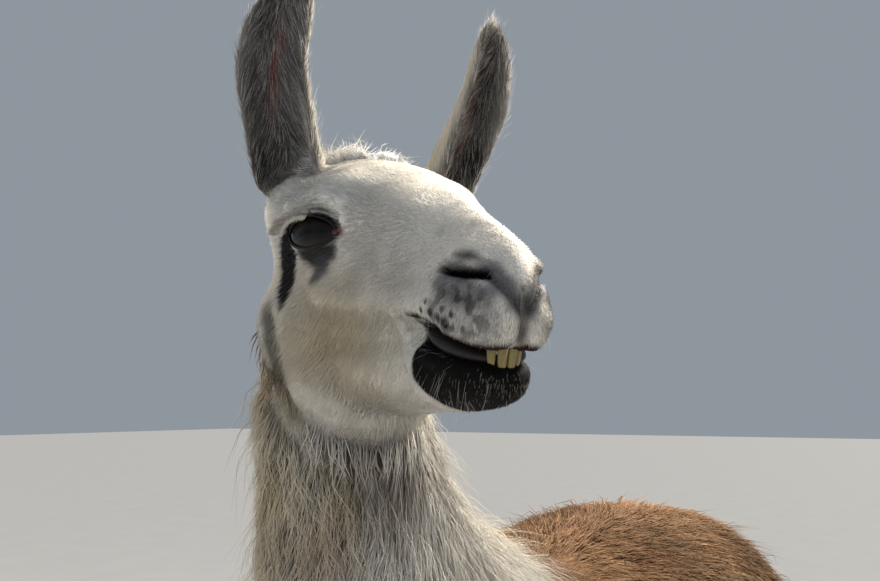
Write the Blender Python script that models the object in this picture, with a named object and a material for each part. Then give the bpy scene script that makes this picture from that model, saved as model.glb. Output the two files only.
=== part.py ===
# Life-size museum model of a standing llama that looks round to its left.
# Metres, +Z up. The feet stand on z = 0, the body faces -Y, so its left is +X, and the
# model's box is centred over the origin at the end.
# Every solid reaches out to the tips of the coat. The body is lofted, merged into one
# closed skin and smoothed, and then parted into its named pieces with thin cuts.
import math

import bmesh
import bpy
import numpy as np
from mathutils import Matrix, Vector

# ---------------------------------------------------------------- driving dimensions
GAP = 0.0003             # clear space between two pieces that meet
BACK_HEIGHT = 1.214      # top of the fleece over the back
TRUNK_HALF_WIDTH = 0.300
EYE_HEIGHT = 1.500
HEAD_TURN = math.radians(-36)     # the nose's bearing from +X, so 54 degrees left of the body
HEAD_DIP = math.radians(6)        # nose below level
HEAD_ORIGIN = Vector((0.081, -0.644, EYE_HEIGHT))    # midway between the eyes
EYE_RADIUS = 0.0205
EYE_CENTRE = Vector((-0.0115, 0.0530, -0.005))       # the left eyeball, in the head's axes
EYE_OUTWARD = math.radians(56)                       # the eye's bearing from the nose
EYE_OPENING = Vector((0.0095, 0.0195, 0.0125))       # half depth, length and height
FRONT_FOOT = Vector((0.130, -0.300, 0.0))
HIND_FOOT = Vector((0.130, 0.440, 0.0))
TOE_SPACING = 0.042
TAIL_ROOT = Vector((0.0, 0.520, 1.075))
BODY_VOXEL = 0.008
FINE_VOXEL = 0.003
NAPE_ROUNDS = 40         # smoothing where the neck runs into the head
SIDES = 32

# Triangles kept in each piece of the merged skin. The trunk still has its legs here.
BUDGET = {"head": 1750, "neck": 420, "tail": 170, "trunk": 2500}

# The head's own axes: x towards the nose, y to its left, z up, origin between the eyes.
HEAD = (
    Matrix.Translation(HEAD_ORIGIN)
    @ Matrix.Rotation(HEAD_TURN, 4, "Z")
    @ Matrix.Rotation(HEAD_DIP, 4, "Y")
)

# Skull and upper jaw: x, top, bottom, half width, height of the widest line,
# fullness above that line and below it (2 is an ellipse, more is squarer).
SKULL_STATIONS = [
    (-0.142, 0.012, -0.040, 0.020, -0.012, 2.0, 2.0),
    (-0.130, 0.050, -0.085, 0.058, -0.012, 2.0, 2.0),
    (-0.100, 0.080, -0.116, 0.080, -0.012, 2.0, 1.9),
    (-0.065, 0.073, -0.134, 0.083, -0.014, 2.1, 2.0),
    (-0.030, 0.065, -0.141, 0.075, -0.008, 2.3, 1.9),
    (0.005, 0.054, -0.140, 0.064, -0.004, 2.4, 2.0),
    (0.035, 0.044, -0.136, 0.054, -0.012, 2.4, 2.1),
    (0.065, 0.033, -0.126, 0.047, -0.026, 2.4, 2.2),
    (0.095, 0.017, -0.092, 0.040, -0.048, 2.3, 2.6),
    (0.113, 0.008, -0.0760, 0.0370, -0.056, 2.2, 3.2),
    (0.130, 0.000, -0.0780, 0.0355, -0.060, 2.1, 3.6),
    (0.150, -0.009, -0.0810, 0.0325, -0.064, 2.0, 3.6),
    (0.167, -0.019, -0.0835, 0.0270, -0.066, 2.0, 3.2),
    (0.180, -0.031, -0.0825, 0.0185, -0.066, 2.0, 2.6),
    (0.188, -0.046, -0.0770, 0.0090, -0.064, 2.0, 2.0),
]
JAW_STATIONS = [
    (-0.060, -0.060, -0.120, 0.045, -0.095, 2.0, 2.0),
    (-0.020, -0.060, -0.138, 0.054, -0.100, 2.0, 2.0),
    (0.030, -0.065, -0.138, 0.046, -0.104, 2.0, 2.0),
    (0.080, -0.072, -0.131, 0.036, -0.104, 2.4, 2.0),
    (0.113, -0.0785, -0.127, 0.0310, -0.104, 3.0, 2.0),
    (0.130, -0.0840, -0.1245, 0.0290, -0.104, 3.2, 2.0),
    (0.145, -0.0890, -0.1220, 0.0260, -0.105, 3.2, 2.0),
    (0.160, -0.0945, -0.1190, 0.0210, -0.106, 2.8, 2.0),
    (0.170, -0.0990, -0.1135, 0.0120, -0.106, 2.0, 2.0),
]

# Swellings and hollows of the head: centre (x, y, z), height along the normal, spread.
# One with y above zero stands on both sides.
HEAD_SWELLINGS = [
    ((-0.008, 0.064, -0.004), 0.0060, 0.022),   # orbit
    ((-0.004, 0.056, 0.030), 0.0075, 0.016),    # brow
    ((-0.090, 0.078, 0.030), 0.0250, 0.022),    # root of the ear
    ((-0.100, 0.000, 0.086), 0.0110, 0.026),    # topknot
    ((-0.028, 0.064, -0.088), 0.0070, 0.034),   # cheek muscle
    ((0.045, 0.052, -0.014), -0.0060, 0.018),   # hollow before the eye
    ((0.060, 0.000, 0.035), -0.0030, 0.022),    # dip of the nose bridge
    ((0.170, 0.014, -0.076), 0.0030, 0.010),    # upper lip lobe
    ((0.184, 0.000, -0.066), -0.0040, 0.007),   # cleft of the upper lip
    ((0.158, 0.020, -0.034), 0.0025, 0.009),    # nostril wing
    ((0.110, 0.042, -0.094), -0.0040, 0.016),   # hollow behind the lower lip
]

# The jaw is parted from the head along this profile, as (x, z) in the head's axes.
# Its front stretch runs through the open mouth.
JAW_CUT = [
    (0.230, -0.1069),
    (0.113, -0.0768),
    (0.088, -0.0700),
    (-0.030, -0.0700),
    (-0.030, -0.2000),
    (0.230, -0.2000),
]

# Lower incisors: place along the jaw's front, across and outwards.
TOOTH_COUNT = 4
TOOTH = Vector((0.0036, 0.0072, 0.0250))    # thick, wide, long
TOOTH_ARC = 0.021                            # radius of the row
TOOTH_TURN = math.radians(20)                # from one tooth to the next
TOOTH_TOP = Vector((0.166, 0.0, -0.0850))

# The left ear's spine in the head's axes, and its sections: radius, half wrap, wall,
# and how far its mouth turns out from straight ahead.
EAR_SPINE = [
    (-0.088, 0.052, 0.008),
    (-0.082, 0.074, 0.048),
    (-0.072, 0.092, 0.095),
    (-0.062, 0.107, 0.140),
    (-0.052, 0.107, 0.178),
    (-0.046, 0.101, 0.204),
    (-0.045, 0.097, 0.215),
]
EAR_SECTIONS = [
    (0.0210, 130, 0.0100, 50),
    (0.0275, 114, 0.0100, 42),
    (0.0275, 98, 0.0095, 30),
    (0.0275, 92, 0.0090, 22),
    (0.0230, 86, 0.0090, 18),
    (0.0130, 78, 0.0085, 16),
    (0.0045, 60, 0.0070, 16),
]
EAR_RIGHT_LEAN = 0.030    # the right ear's tip bends further in

# Neck: centre (x, y, z) and half widths across and fore-and-aft.
NECK_STATIONS = [
    (0.000, -0.170, 0.880, 0.185, 0.185),
    (0.000, -0.290, 0.990, 0.170, 0.195),
    (0.000, -0.410, 1.085, 0.140, 0.162),
    (0.000, -0.508, 1.165, 0.117, 0.134),
    (-0.001, -0.566, 1.245, 0.100, 0.110),
    (-0.003, -0.592, 1.325, 0.086, 0.094),
    (-0.006, -0.599, 1.395, 0.084, 0.090),
    (0.000, -0.598, 1.450, 0.083, 0.086),
    (0.010, -0.596, 1.492, 0.064, 0.066),
]

# Trunk: y, top, bottom, half width.
TRUNK_STATIONS = [
    (-0.478, 0.960, 0.860, 0.050),
    (-0.455, 1.020, 0.780, 0.115),
    (-0.395, 1.100, 0.700, 0.185),
    (-0.290, 1.172, 0.640, 0.240),
    (-0.120, BACK_HEIGHT - 0.012, 0.602, 0.282),
    (0.080, BACK_HEIGHT - 0.002, 0.606, TRUNK_HALF_WIDTH),
    (0.270, BACK_HEIGHT, 0.640, TRUNK_HALF_WIDTH),
    (0.415, BACK_HEIGHT - 0.020, 0.700, 0.264),
    (0.520, 1.136, 0.770, 0.202),
    (0.578, 1.050, 0.840, 0.115),
    (0.594, 0.985, 0.885, 0.050),
]
TRUNK_FULLNESS = (2.4, 2.1)     # above and below the widest line; 2 is an ellipse

# Legs: offset from the foot (x, y), height, half widths across and fore-and-aft.
FRONT_LEG_STATIONS = [
    (-0.020, 0.030, 0.820, 0.095, 0.120),
    (-0.008, 0.022, 0.680, 0.088, 0.110),
    (0.000, 0.012, 0.570, 0.068, 0.082),
    (0.002, 0.006, 0.460, 0.048, 0.054),
    (0.002, -0.002, 0.370, 0.041, 0.047),
    (0.001, 0.004, 0.300, 0.031, 0.036),
    (0.000, 0.008, 0.200, 0.027, 0.032),
    (0.000, 0.004, 0.120, 0.033, 0.039),
    (0.000, -0.012, 0.070, 0.036, 0.042),
    (0.000, -0.026, 0.034, 0.036, 0.044),
]
HIND_LEG_STATIONS = [
    (-0.030, -0.060, 0.930, 0.110, 0.160),
    (-0.010, -0.075, 0.800, 0.118, 0.172),
    (0.000, -0.060, 0.680, 0.098, 0.148),
    (0.004, -0.010, 0.560, 0.066, 0.100),
    (0.002, 0.048, 0.465, 0.045, 0.063),
    (0.000, 0.068, 0.400, 0.037, 0.047),
    (0.000, 0.056, 0.320, 0.030, 0.037),
    (0.000, 0.034, 0.200, 0.027, 0.033),
    (0.000, 0.016, 0.120, 0.033, 0.039),
    (0.000, -0.004, 0.070, 0.036, 0.042),
    (0.000, -0.022, 0.034, 0.036, 0.044),
]

# Toe: distance forward of the foot's middle, height of its middle, half width.
TOE_STATIONS = [
    (-0.050, 0.024, 0.012),
    (-0.040, 0.030, 0.019),
    (-0.006, 0.036, 0.0205),
    (0.034, 0.031, 0.0200),
    (0.062, 0.023, 0.0165),
    (0.078, 0.014, 0.0100),
]
TOE_SINK = 0.006         # how far a toe's oval reaches below the floor before it is cut flat
NAIL_FORWARD = 0.070
NAIL_SIZE = Vector((0.0075, 0.0150, 0.0065))    # half width, half length, half height
NAIL_HEIGHT = 0.017

# Tail: offset from its root (x, y, z) and half widths.
TAIL_STATIONS = [
    (0.0, -0.060, 0.030, 0.050, 0.050),
    (0.0, 0.020, 0.020, 0.058, 0.056),
    (0.0, 0.068, -0.030, 0.062, 0.056),
    (0.0, 0.090, -0.105, 0.060, 0.050),
    (0.0, 0.096, -0.185, 0.048, 0.040),
    (0.0, 0.094, -0.245, 0.026, 0.024),
    (0.0, 0.092, -0.262, 0.008, 0.008),
]

# Flat cuts between the pieces: a point and the normal that points to the second piece.
THROAT_CUT = (HEAD @ Vector((-0.165, 0, 0.000)), HEAD.to_3x3() @ Vector((-0.714, 0, -0.700)))
WITHERS_CUT = (Vector((0, -0.355, 1.075)), Vector((0, 0.630, -0.775)).normalized())
TAIL_CUT = (Vector((0, 0.592, 0)), Vector((0, 1, 0)))
ANKLE_CUT = (Vector((0, 0, 0.105)), Vector((0, 0, -1)))
FLOOR = (Vector((0, 0, 0)), Vector((0, 0, -1)))
LEG_TOP = {"front": 0.600, "hind": 0.660}
LEG_REACH = {"front": (-0.480, -0.150), "hind": (0.240, 0.640)}


# ---------------------------------------------------------------- helpers
def clear_scene():
    for old in list(bpy.data.objects):
        bpy.data.objects.remove(old)


def spread(stations, count):
    """The stations' columns read along one smooth curve, count times."""
    rows = np.array(stations, float)
    slope = np.gradient(rows, axis=0)
    wanted = np.linspace(0, len(rows) - 1, count)
    low = np.minimum(wanted.astype(int), len(rows) - 2)
    t = (wanted - low)[:, None]
    a, b = rows[low], rows[low + 1]
    ma, mb = slope[low], slope[low + 1]
    return (
        a * (2 * t**3 - 3 * t**2 + 1)
        + ma * (t**3 - 2 * t**2 + t)
        + b * (3 * t**2 - 2 * t**3)
        + mb * (t**3 - t**2)
    )


def new_object(name, mesh):
    made = bpy.data.objects.new(name, mesh)
    bpy.context.scene.collection.objects.link(made)
    return made


def object_of(name, bm):
    bmesh.ops.recalc_face_normals(bm, faces=bm.faces)
    mesh = bpy.data.meshes.new(name)
    bm.to_mesh(mesh)
    bm.free()
    return new_object(name, mesh)


def skinned(name, rings, sides=SIDES):
    """A closed tube through rings, each a function from the ring's angle to a point."""
    bm = bmesh.new()
    loops = []
    for ring in rings:
        made = bmesh.ops.create_circle(bm, segments=sides, radius=1)["verts"]
        for v in made:
            v.co = ring(math.atan2(v.co.y, v.co.x))
        loops.append([e for e in bm.edges if all(w in made for w in e.verts)])
    for first, second in zip(loops, loops[1:]):
        bmesh.ops.bridge_loops(bm, edges=first + second)
    for end in (loops[0], loops[-1]):
        bmesh.ops.holes_fill(bm, edges=end, sides=0)
    return object_of(name, bm)


def power(value, exponent):
    return math.copysign(abs(value) ** exponent, value)


def oval(centre, across, along, half_across, half_along, fullness=(2.0, 2.0)):
    def ring(angle):
        c, s = math.cos(angle), math.sin(angle)
        squared = 2 / fullness[0 if s > 0 else 1]
        u = power(c, squared) * half_across
        v = power(s, squared) * half_along
        return centre + across * u + along * v

    return ring


def limb(name, stations, count=24, side=1.0, base=Vector((0, 0, 0))):
    """An oval tube along its stations' centres, its rings square to the centreline."""
    rows = spread(stations, count)
    centres = [Vector((side * (base.x + r[0]), base.y + r[1], base.z + r[2])) for r in rows]
    rings = []
    for i, row in enumerate(rows):
        ahead = centres[min(i + 1, count - 1)] - centres[max(i - 1, 0)]
        across = Vector((1, 0, 0))
        along = ahead.normalized().cross(across).normalized()
        rings.append(oval(centres[i], across, along, row[3], row[4]))
    return skinned(name, rings)


def ball(name, centre, radii, sides=20, placed=Matrix.Identity(4)):
    bm = bmesh.new()
    bmesh.ops.create_uvsphere(bm, u_segments=sides, v_segments=sides // 2 + 1, radius=1)
    bmesh.ops.scale(bm, vec=radii, verts=bm.verts)
    bmesh.ops.translate(bm, vec=centre, verts=bm.verts)
    bmesh.ops.transform(bm, matrix=placed, verts=bm.verts)
    return object_of(name, bm)


def prism(name, profile, half_width, grow, placed=Matrix.Identity(4)):
    """A block between two copies of an (x, z) profile, grown outwards on every side."""
    area = sum(a[0] * b[1] - b[0] * a[1] for a, b in zip(profile, profile[1:] + profile[:1]))
    turn = math.copysign(1, area)
    points = []
    for before, here, after in zip(profile[-1:] + profile[:-1], profile, profile[1:] + profile[:1]):
        first = Vector((here[0] - before[0], here[1] - before[1])).normalized()
        second = Vector((after[0] - here[0], after[1] - here[1])).normalized()
        out = Vector((first.y + second.y, -first.x - second.x)) * turn
        points.append(Vector(here) + out * (grow / (1 + first.dot(second))))
    bm = bmesh.new()
    face = bm.faces.new([bm.verts.new((p.x, -half_width - grow, p.y)) for p in points])
    depth = Vector((0, 2 * (half_width + grow), 0))
    made = bmesh.ops.extrude_face_region(bm, geom=[face])["geom"]
    bmesh.ops.translate(bm, vec=depth, verts=[g for g in made if isinstance(g, bmesh.types.BMVert)])
    bmesh.ops.transform(bm, matrix=placed, verts=bm.verts)
    return object_of(name, bm)


def block(name, low, high, grow):
    centre = (Vector(low) + Vector(high)) / 2
    half = (Vector(high) - Vector(low)) / 2 + Vector((grow, grow, grow))
    bm = bmesh.new()
    bmesh.ops.create_cube(bm, size=2)
    bmesh.ops.scale(bm, vec=half, verts=bm.verts)
    bmesh.ops.translate(bm, vec=centre, verts=bm.verts)
    return object_of(name, bm)


def settle(obj):
    """The object's modifiers made part of its mesh."""
    graph = bpy.context.evaluated_depsgraph_get()
    mesh = bpy.data.meshes.new_from_object(obj.evaluated_get(graph))
    obj.modifiers.clear()
    obj.data = mesh
    return obj


def copy_of(obj, name):
    return new_object(name, obj.data.copy())


def combined(obj, operation, other):
    """The Boolean of two objects. The other one is used up."""
    cut = obj.modifiers.new("cut", "BOOLEAN")
    cut.operation = operation
    cut.object = other
    settle(obj)
    bpy.data.objects.remove(other)
    return obj


def joined(name, objects):
    bm = bmesh.new()
    for obj in objects:
        bm.from_mesh(obj.data)
        bpy.data.objects.remove(obj)
    mesh = bpy.data.meshes.new(name)
    bm.to_mesh(mesh)
    bm.free()
    return new_object(name, mesh)


def merged(obj, voxel):
    remesh = obj.modifiers.new("merge", "REMESH")
    remesh.mode = "VOXEL"
    remesh.voxel_size = voxel
    return settle(obj)


def eased(obj, rounds, weight=None):
    """Smooths the mesh, everywhere or as weight says for an array of points."""
    smooth = obj.modifiers.new("ease", "SMOOTH")
    smooth.factor = 0.5
    smooth.iterations = rounds
    if weight:
        points = np.array([v.co for v in obj.data.vertices])
        steps = np.round(np.clip(weight(points), 0, 1) * 10)
        group = obj.vertex_groups.new(name="ease")
        for step in range(1, 11):
            group.add(np.flatnonzero(steps == step).tolist(), step / 10, "REPLACE")
        smooth.vertex_group = "ease"
    settle(obj)
    obj.vertex_groups.clear()
    return obj


def thinned(obj, triangles):
    now = sum(len(p.vertices) - 2 for p in obj.data.polygons)
    decimate = obj.modifiers.new("thin", "DECIMATE")
    decimate.ratio = min(1.0, triangles / now)
    return settle(obj)


def sliced(obj, point, normal):
    """Keeps the side that the normal points away from, and closes the cut."""
    bm = bmesh.new()
    bm.from_mesh(obj.data)
    cut = bmesh.ops.bisect_plane(
        bm,
        geom=bm.verts[:] + bm.edges[:] + bm.faces[:],
        plane_co=point,
        plane_no=normal,
        clear_outer=True,
    )["geom_cut"]
    bmesh.ops.holes_fill(bm, edges=[e for e in cut if isinstance(e, bmesh.types.BMEdge)], sides=0)
    bm.to_mesh(obj.data)
    bm.free()
    return obj


def parted(obj, cut, first_name, second_name):
    """The two sides of a flat cut, each still reaching a little past it."""
    point, normal = cut
    margin = normal * (2 * FINE_VOXEL)
    first = sliced(copy_of(obj, first_name), point + margin, normal)
    second = sliced(copy_of(obj, second_name), point - margin, -normal)
    bpy.data.objects.remove(obj)
    return first, second


def trimmed(piece, cut, side):
    """The piece with a flat face half a gap from the cut. side is 1 before it and -1 past it."""
    point, normal = cut
    return sliced(piece, point - normal * (side * GAP / 2), normal * side)


# ---------------------------------------------------------------- shapes of the body
def head_ring(row):
    x, top, bottom, half_width, widest, above, below = row

    def ring(angle):
        c, s = math.cos(angle), math.sin(angle)
        fullness = above if s > 0 else below
        reach = top - widest if s > 0 else widest - bottom
        taper = 1 - 0.22 * max(0.0, -s) ** 3 - 0.10 * max(0.0, s) ** 3
        y = half_width * power(c, 2 / fullness) * taper
        return Vector((x, y, widest + reach * power(s, 2 / fullness)))

    return ring


def head_shape():
    skull = skinned("skull", [head_ring(r) for r in spread(SKULL_STATIONS, 44)], 48)
    swell(skull.data)
    jaw = skinned("jaw", [head_ring(r) for r in spread(JAW_STATIONS, 30)], 40)
    head = joined("head_shape", [skull, jaw])
    head.data.transform(HEAD)
    return head


def swell(mesh):
    mesh.update()
    for v in mesh.vertices:
        push = 0.0
        for centre, height, reach in HEAD_SWELLINGS:
            near = Vector((v.co.x, abs(v.co.y), v.co.z)) - Vector(centre)
            push += height * math.exp(-near.length_squared / (2 * reach**2))
        v.co += v.normal * push


def trunk_shape():
    rings = []
    for y, top, bottom, half_width in spread(TRUNK_STATIONS, 40):
        centre = Vector((0, y, (top + bottom) / 2))
        tall = (top - bottom) / 2
        rings.append(
            oval(centre, Vector((1, 0, 0)), Vector((0, 0, 1)), half_width, tall, TRUNK_FULLNESS)
        )
    return skinned("trunk_shape", rings, 40)


def toes_shape(foot, side):
    """Two padded toes side by side."""
    made = []
    for offset in (-TOE_SPACING / 2, TOE_SPACING / 2):
        rings = []
        for ahead, height, half in spread(TOE_STATIONS, 14):
            centre = Vector((side * (foot.x + offset), foot.y - ahead, height))
            rings.append(
                oval(centre, Vector((1, 0, 0)), Vector((0, 0, 1)), half, height + TOE_SINK)
            )
        made.append(skinned("toe_shape", rings, 20))
    return made


def fleece_weight(points):
    """Where the large creases between trunk, neck, thighs and tail are eased."""
    return (points[:, 2] - 0.42) / 0.14


def nape_weight(points):
    """Where the neck runs into the head: behind the ears and the cheeks, down the throat."""
    into_head = np.array(HEAD.inverted())
    x = points @ into_head[0, :3] + into_head[0, 3]
    z = points @ into_head[2, :3] + into_head[2, 3]
    return (-0.060 - 0.35 * (z + 0.02) - x) / 0.030 * (points[:, 2] > EYE_HEIGHT - 0.35)


def whole_body():
    large = [
        trunk_shape(),
        limb("neck_shape", NECK_STATIONS, 30),
        limb("tail_shape", TAIL_STATIONS, 22, base=TAIL_ROOT),
    ]
    for side in (1, -1):
        large.append(limb("front_leg_shape", FRONT_LEG_STATIONS, 30, side, FRONT_FOOT))
        large.append(limb("hind_leg_shape", HIND_LEG_STATIONS, 30, side, HIND_FOOT))
    body = eased(merged(joined("large", large), BODY_VOXEL), 12, fleece_weight)
    fine = [body, head_shape()]
    for side in (1, -1):
        for foot in (FRONT_FOOT, HIND_FOOT):
            fine += toes_shape(foot, side)
    whole = eased(merged(joined("whole", fine), FINE_VOXEL), 5)
    return eased(whole, NAPE_ROUNDS, nape_weight)


# ---------------------------------------------------------------- head pieces
def crescent(centre, across, front, radius, wrap, wall):
    """A bent bar of even thickness with rounded ends, open towards the front."""

    def ring(angle):
        c, s = math.cos(angle), math.sin(angle)
        turn = wrap * power(c, 0.8)
        depth = radius + wall / 2 * power(s, 0.45)
        return centre + across * (depth * math.sin(turn)) - front * (depth * math.cos(turn))

    return ring


def ear_shape(name, side):
    """A curved scoop: rolled to a funnel at its root, opening to a blade that bends inwards."""
    steps = 15
    spine = spread(EAR_SPINE, steps)
    sections = spread(EAR_SECTIONS, steps)
    spine[:, 1] -= (side < 0) * EAR_RIGHT_LEAN * np.linspace(0, 1, steps) ** 2
    rings = []
    for i, (radius, wrap, wall, outward) in enumerate(sections):
        up = (Vector(spine[min(i + 1, steps - 1)]) - Vector(spine[max(i - 1, 0)])).normalized()
        facing = Vector((math.cos(math.radians(outward)), math.sin(math.radians(outward)), 0))
        front = (facing - up * facing.dot(up)).normalized()
        rings.append(
            crescent(Vector(spine[i]), up.cross(front), front, radius, math.radians(wrap), wall)
        )
    ear = skinned(name, rings, 18)
    if side < 0:
        ear.data.transform(Matrix.Scale(-1, 4, (0, 1, 0)))
        ear.data.flip_normals()
    ear.data.transform(HEAD)
    return ear


def grown(obj, name, distance):
    """A copy pushed outwards, to cut a neighbour with clearance."""
    made = copy_of(obj, name)
    made.data.update()
    for v in made.data.vertices:
        v.co += v.normal * distance
    return made


def make_ear(name, side, head):
    ear = combined(ear_shape(name, side), "DIFFERENCE", grown(head, "head_grown", 1.5 * GAP))
    return finished(ear, coat_white())


def make_eye(name, side, head):
    """The eyeball, its socket and the opening between the lids."""
    centre = Vector((EYE_CENTRE.x, side * EYE_CENTRE.y, EYE_CENTRE.z))
    placed = HEAD @ Matrix.Translation(centre) @ Matrix.Rotation(side * EYE_OUTWARD, 4, "Z")
    front = Vector((EYE_RADIUS + EYE_OPENING.x / 2, 0, 0))
    room = EYE_RADIUS + GAP
    socket = ball("socket", (0, 0, 0), (room, room, room), 16, placed)
    combined(socket, "UNION", ball("opening", front, EYE_OPENING, 14, placed))
    combined(head, "DIFFERENCE", socket)
    eye = ball(name, (0, 0, 0), (EYE_RADIUS, EYE_RADIUS, EYE_RADIUS), 16, placed)
    return finished(eye, eye_glass())


def tooth_shape(place):
    """One lower incisor, its crown leaning forward along the row's arc."""
    turn = TOOTH_TURN * place
    root = TOOTH_TOP + Vector((math.cos(turn) - 1, math.sin(turn), 0)) * TOOTH_ARC
    root.z -= TOOTH.z / 2
    placed = (
        HEAD
        @ Matrix.Translation(root)
        @ Matrix.Rotation(turn, 4, "Z")
        @ Matrix.Rotation(math.radians(14), 4, "Y")
    )
    bm = bmesh.new()
    bmesh.ops.create_cube(bm, size=1)
    bmesh.ops.scale(bm, vec=TOOTH, verts=bm.verts)
    crown = [e for e in bm.edges if all(v.co.z > 0 for v in e.verts)]
    bmesh.ops.bevel(bm, geom=crown, offset=0.0012, segments=1, affect="EDGES")
    bmesh.ops.transform(bm, matrix=placed, verts=bm.verts)
    return object_of("tooth", bm)


def make_jaw(head):
    """The lower jaw, parted from the head through the mouth, with its incisors."""
    jaw = copy_of(head, "lower_jaw")
    combined(jaw, "INTERSECT", prism("jaw_in", JAW_CUT, 0.12, -GAP / 2, HEAD))
    combined(head, "DIFFERENCE", prism("jaw_out", JAW_CUT, 0.12, GAP / 2, HEAD))
    for i in range(TOOTH_COUNT):
        combined(jaw, "UNION", tooth_shape(i - (TOOTH_COUNT - 1) / 2))
    return finished(jaw, coat_white())


# ---------------------------------------------------------------- body pieces
def make_leg(name, pair, side, trunk):
    """One leg taken out of the trunk by a block, and its foot below a level cut."""
    low_y, high_y = LEG_REACH[pair]
    low_x, high_x = sorted((side * 0.012, side * 0.400))
    low, high = (low_x, low_y, -0.100), (high_x, high_y, LEG_TOP[pair])
    leg = copy_of(trunk, "leg")
    combined(leg, "INTERSECT", block("leg_in", low, high, -GAP / 2))
    combined(trunk, "DIFFERENCE", block("leg_out", low, high, GAP / 2))
    leg, foot = parted(leg, ANKLE_CUT, name, name.replace("leg", "foot"))
    return trimmed(leg, ANKLE_CUT, 1), trimmed(foot, ANKLE_CUT, -1)


def make_nails(foot, place, side):
    """Two horny nails let into the tips of the toes."""
    base = FRONT_FOOT if "front" in foot.name else HIND_FOOT
    for word, offset in (("inner", -TOE_SPACING / 2), ("outer", TOE_SPACING / 2)):
        centre = Vector((side * (base.x + offset), base.y - NAIL_FORWARD, NAIL_HEIGHT))
        tilt = Matrix.Translation(centre) @ Matrix.Rotation(math.radians(24), 4, "X")
        room = NAIL_SIZE + Vector((GAP, GAP, GAP))
        combined(foot, "DIFFERENCE", ball("nail_room", (0, 0, 0), room, 8, tilt))
        nail = ball(f"toenail_{place}_{word}", (0, 0, 0), NAIL_SIZE, 8, tilt)
        finished(nail, horn())


# ---------------------------------------------------------------- materials
def material(name, colour, roughness):
    found = bpy.data.materials.get(name)
    if found:
        return found
    made = bpy.data.materials.new(name)
    made.use_nodes = True
    shader = made.node_tree.nodes["Principled BSDF"]
    shader.inputs["Base Color"].default_value = (*colour, 1.0)
    shader.inputs["Roughness"].default_value = roughness
    shader.inputs["Metallic"].default_value = 0.0
    return made


def coat_white():
    return material("coat_white", (0.78, 0.73, 0.68), 0.9)


def coat_brown():
    return material("coat_brown", (0.36, 0.20, 0.11), 0.95)


def eye_glass():
    return material("eye_glass", (0.012, 0.009, 0.008), 0.08)


def horn():
    return material("horn", (0.06, 0.05, 0.045), 0.45)


def finished(obj, look):
    obj.data.materials.clear()
    obj.data.materials.append(look)
    obj.data.shade_smooth()
    obj.data.set_sharp_from_angle(angle=math.radians(40))
    return obj


# ---------------------------------------------------------------- the model
def centred():
    """Moves every piece so that the model's box stands over the origin."""
    objects = list(bpy.context.scene.objects)
    points = np.array([v.co for obj in objects for v in obj.data.vertices])
    middle = (points.min(axis=0) + points.max(axis=0)) / 2
    for obj in objects:
        obj.location = (-middle[0], -middle[1], 0)


def main():
    clear_scene()
    head, rest = parted(whole_body(), THROAT_CUT, "head", "rest")
    neck, rest = parted(rest, WITHERS_CUT, "neck", "rest")
    trunk, tail = parted(rest, TAIL_CUT, "trunk", "tail")
    for piece in (head, neck, trunk, tail):
        thinned(piece, BUDGET[piece.name])
    trimmed(head, THROAT_CUT, 1)
    trimmed(neck, THROAT_CUT, -1)
    trimmed(neck, WITHERS_CUT, 1)
    trimmed(trunk, WITHERS_CUT, -1)
    trimmed(trunk, TAIL_CUT, 1)
    trimmed(tail, TAIL_CUT, -1)
    sliced(trunk, *FLOOR)
    make_jaw(head)
    for word, side in (("left", 1), ("right", -1)):
        make_eye(f"eye_{word}", side, head)
    for word, side in (("left", 1), ("right", -1)):
        make_ear(f"ear_{word}", side, head)
        for pair in ("front", "hind"):
            leg, foot = make_leg(f"{pair}_leg_{word}", pair, side, trunk)
            make_nails(foot, f"{pair}_{word}", side)
            finished(leg, coat_brown())
            finished(foot, coat_brown())
    for piece, look in ((head, coat_white()), (neck, coat_white()), (trunk, coat_brown())):
        finished(piece, look)
    finished(tail, coat_brown())
    centred()


main()
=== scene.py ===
import math

import bmesh
import bpy
import numpy as np
from mathutils import Matrix, Vector
from mathutils.bvhtree import BVHTree


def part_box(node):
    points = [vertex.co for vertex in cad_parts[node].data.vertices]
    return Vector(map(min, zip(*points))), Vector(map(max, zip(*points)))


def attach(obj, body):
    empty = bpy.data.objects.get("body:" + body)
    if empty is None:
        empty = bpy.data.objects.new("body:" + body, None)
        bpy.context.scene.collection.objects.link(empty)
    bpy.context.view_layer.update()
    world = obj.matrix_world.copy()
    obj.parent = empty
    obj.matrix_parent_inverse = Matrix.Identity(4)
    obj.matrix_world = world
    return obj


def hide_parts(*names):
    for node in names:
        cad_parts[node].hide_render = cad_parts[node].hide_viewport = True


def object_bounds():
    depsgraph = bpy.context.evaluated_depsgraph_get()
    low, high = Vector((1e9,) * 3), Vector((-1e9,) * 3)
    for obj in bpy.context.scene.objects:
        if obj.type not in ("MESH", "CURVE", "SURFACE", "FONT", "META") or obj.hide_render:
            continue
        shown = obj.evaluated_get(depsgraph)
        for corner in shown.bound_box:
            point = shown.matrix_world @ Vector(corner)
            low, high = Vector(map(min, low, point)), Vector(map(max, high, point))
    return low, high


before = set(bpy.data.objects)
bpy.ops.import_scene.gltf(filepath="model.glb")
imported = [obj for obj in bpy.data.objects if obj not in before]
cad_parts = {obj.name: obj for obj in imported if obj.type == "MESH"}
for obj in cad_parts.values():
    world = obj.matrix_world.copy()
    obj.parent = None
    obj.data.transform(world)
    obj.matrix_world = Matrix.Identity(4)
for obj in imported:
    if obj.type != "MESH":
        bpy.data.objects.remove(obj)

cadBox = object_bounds()
dice = np.random.default_rng(29)
up = Vector((0, 0, 1))
mm = 0.001
signs = {"left": 1, "right": -1}       # the animal's left is +y in the head's axes
ears = ["ear_left", "ear_right"]
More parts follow.
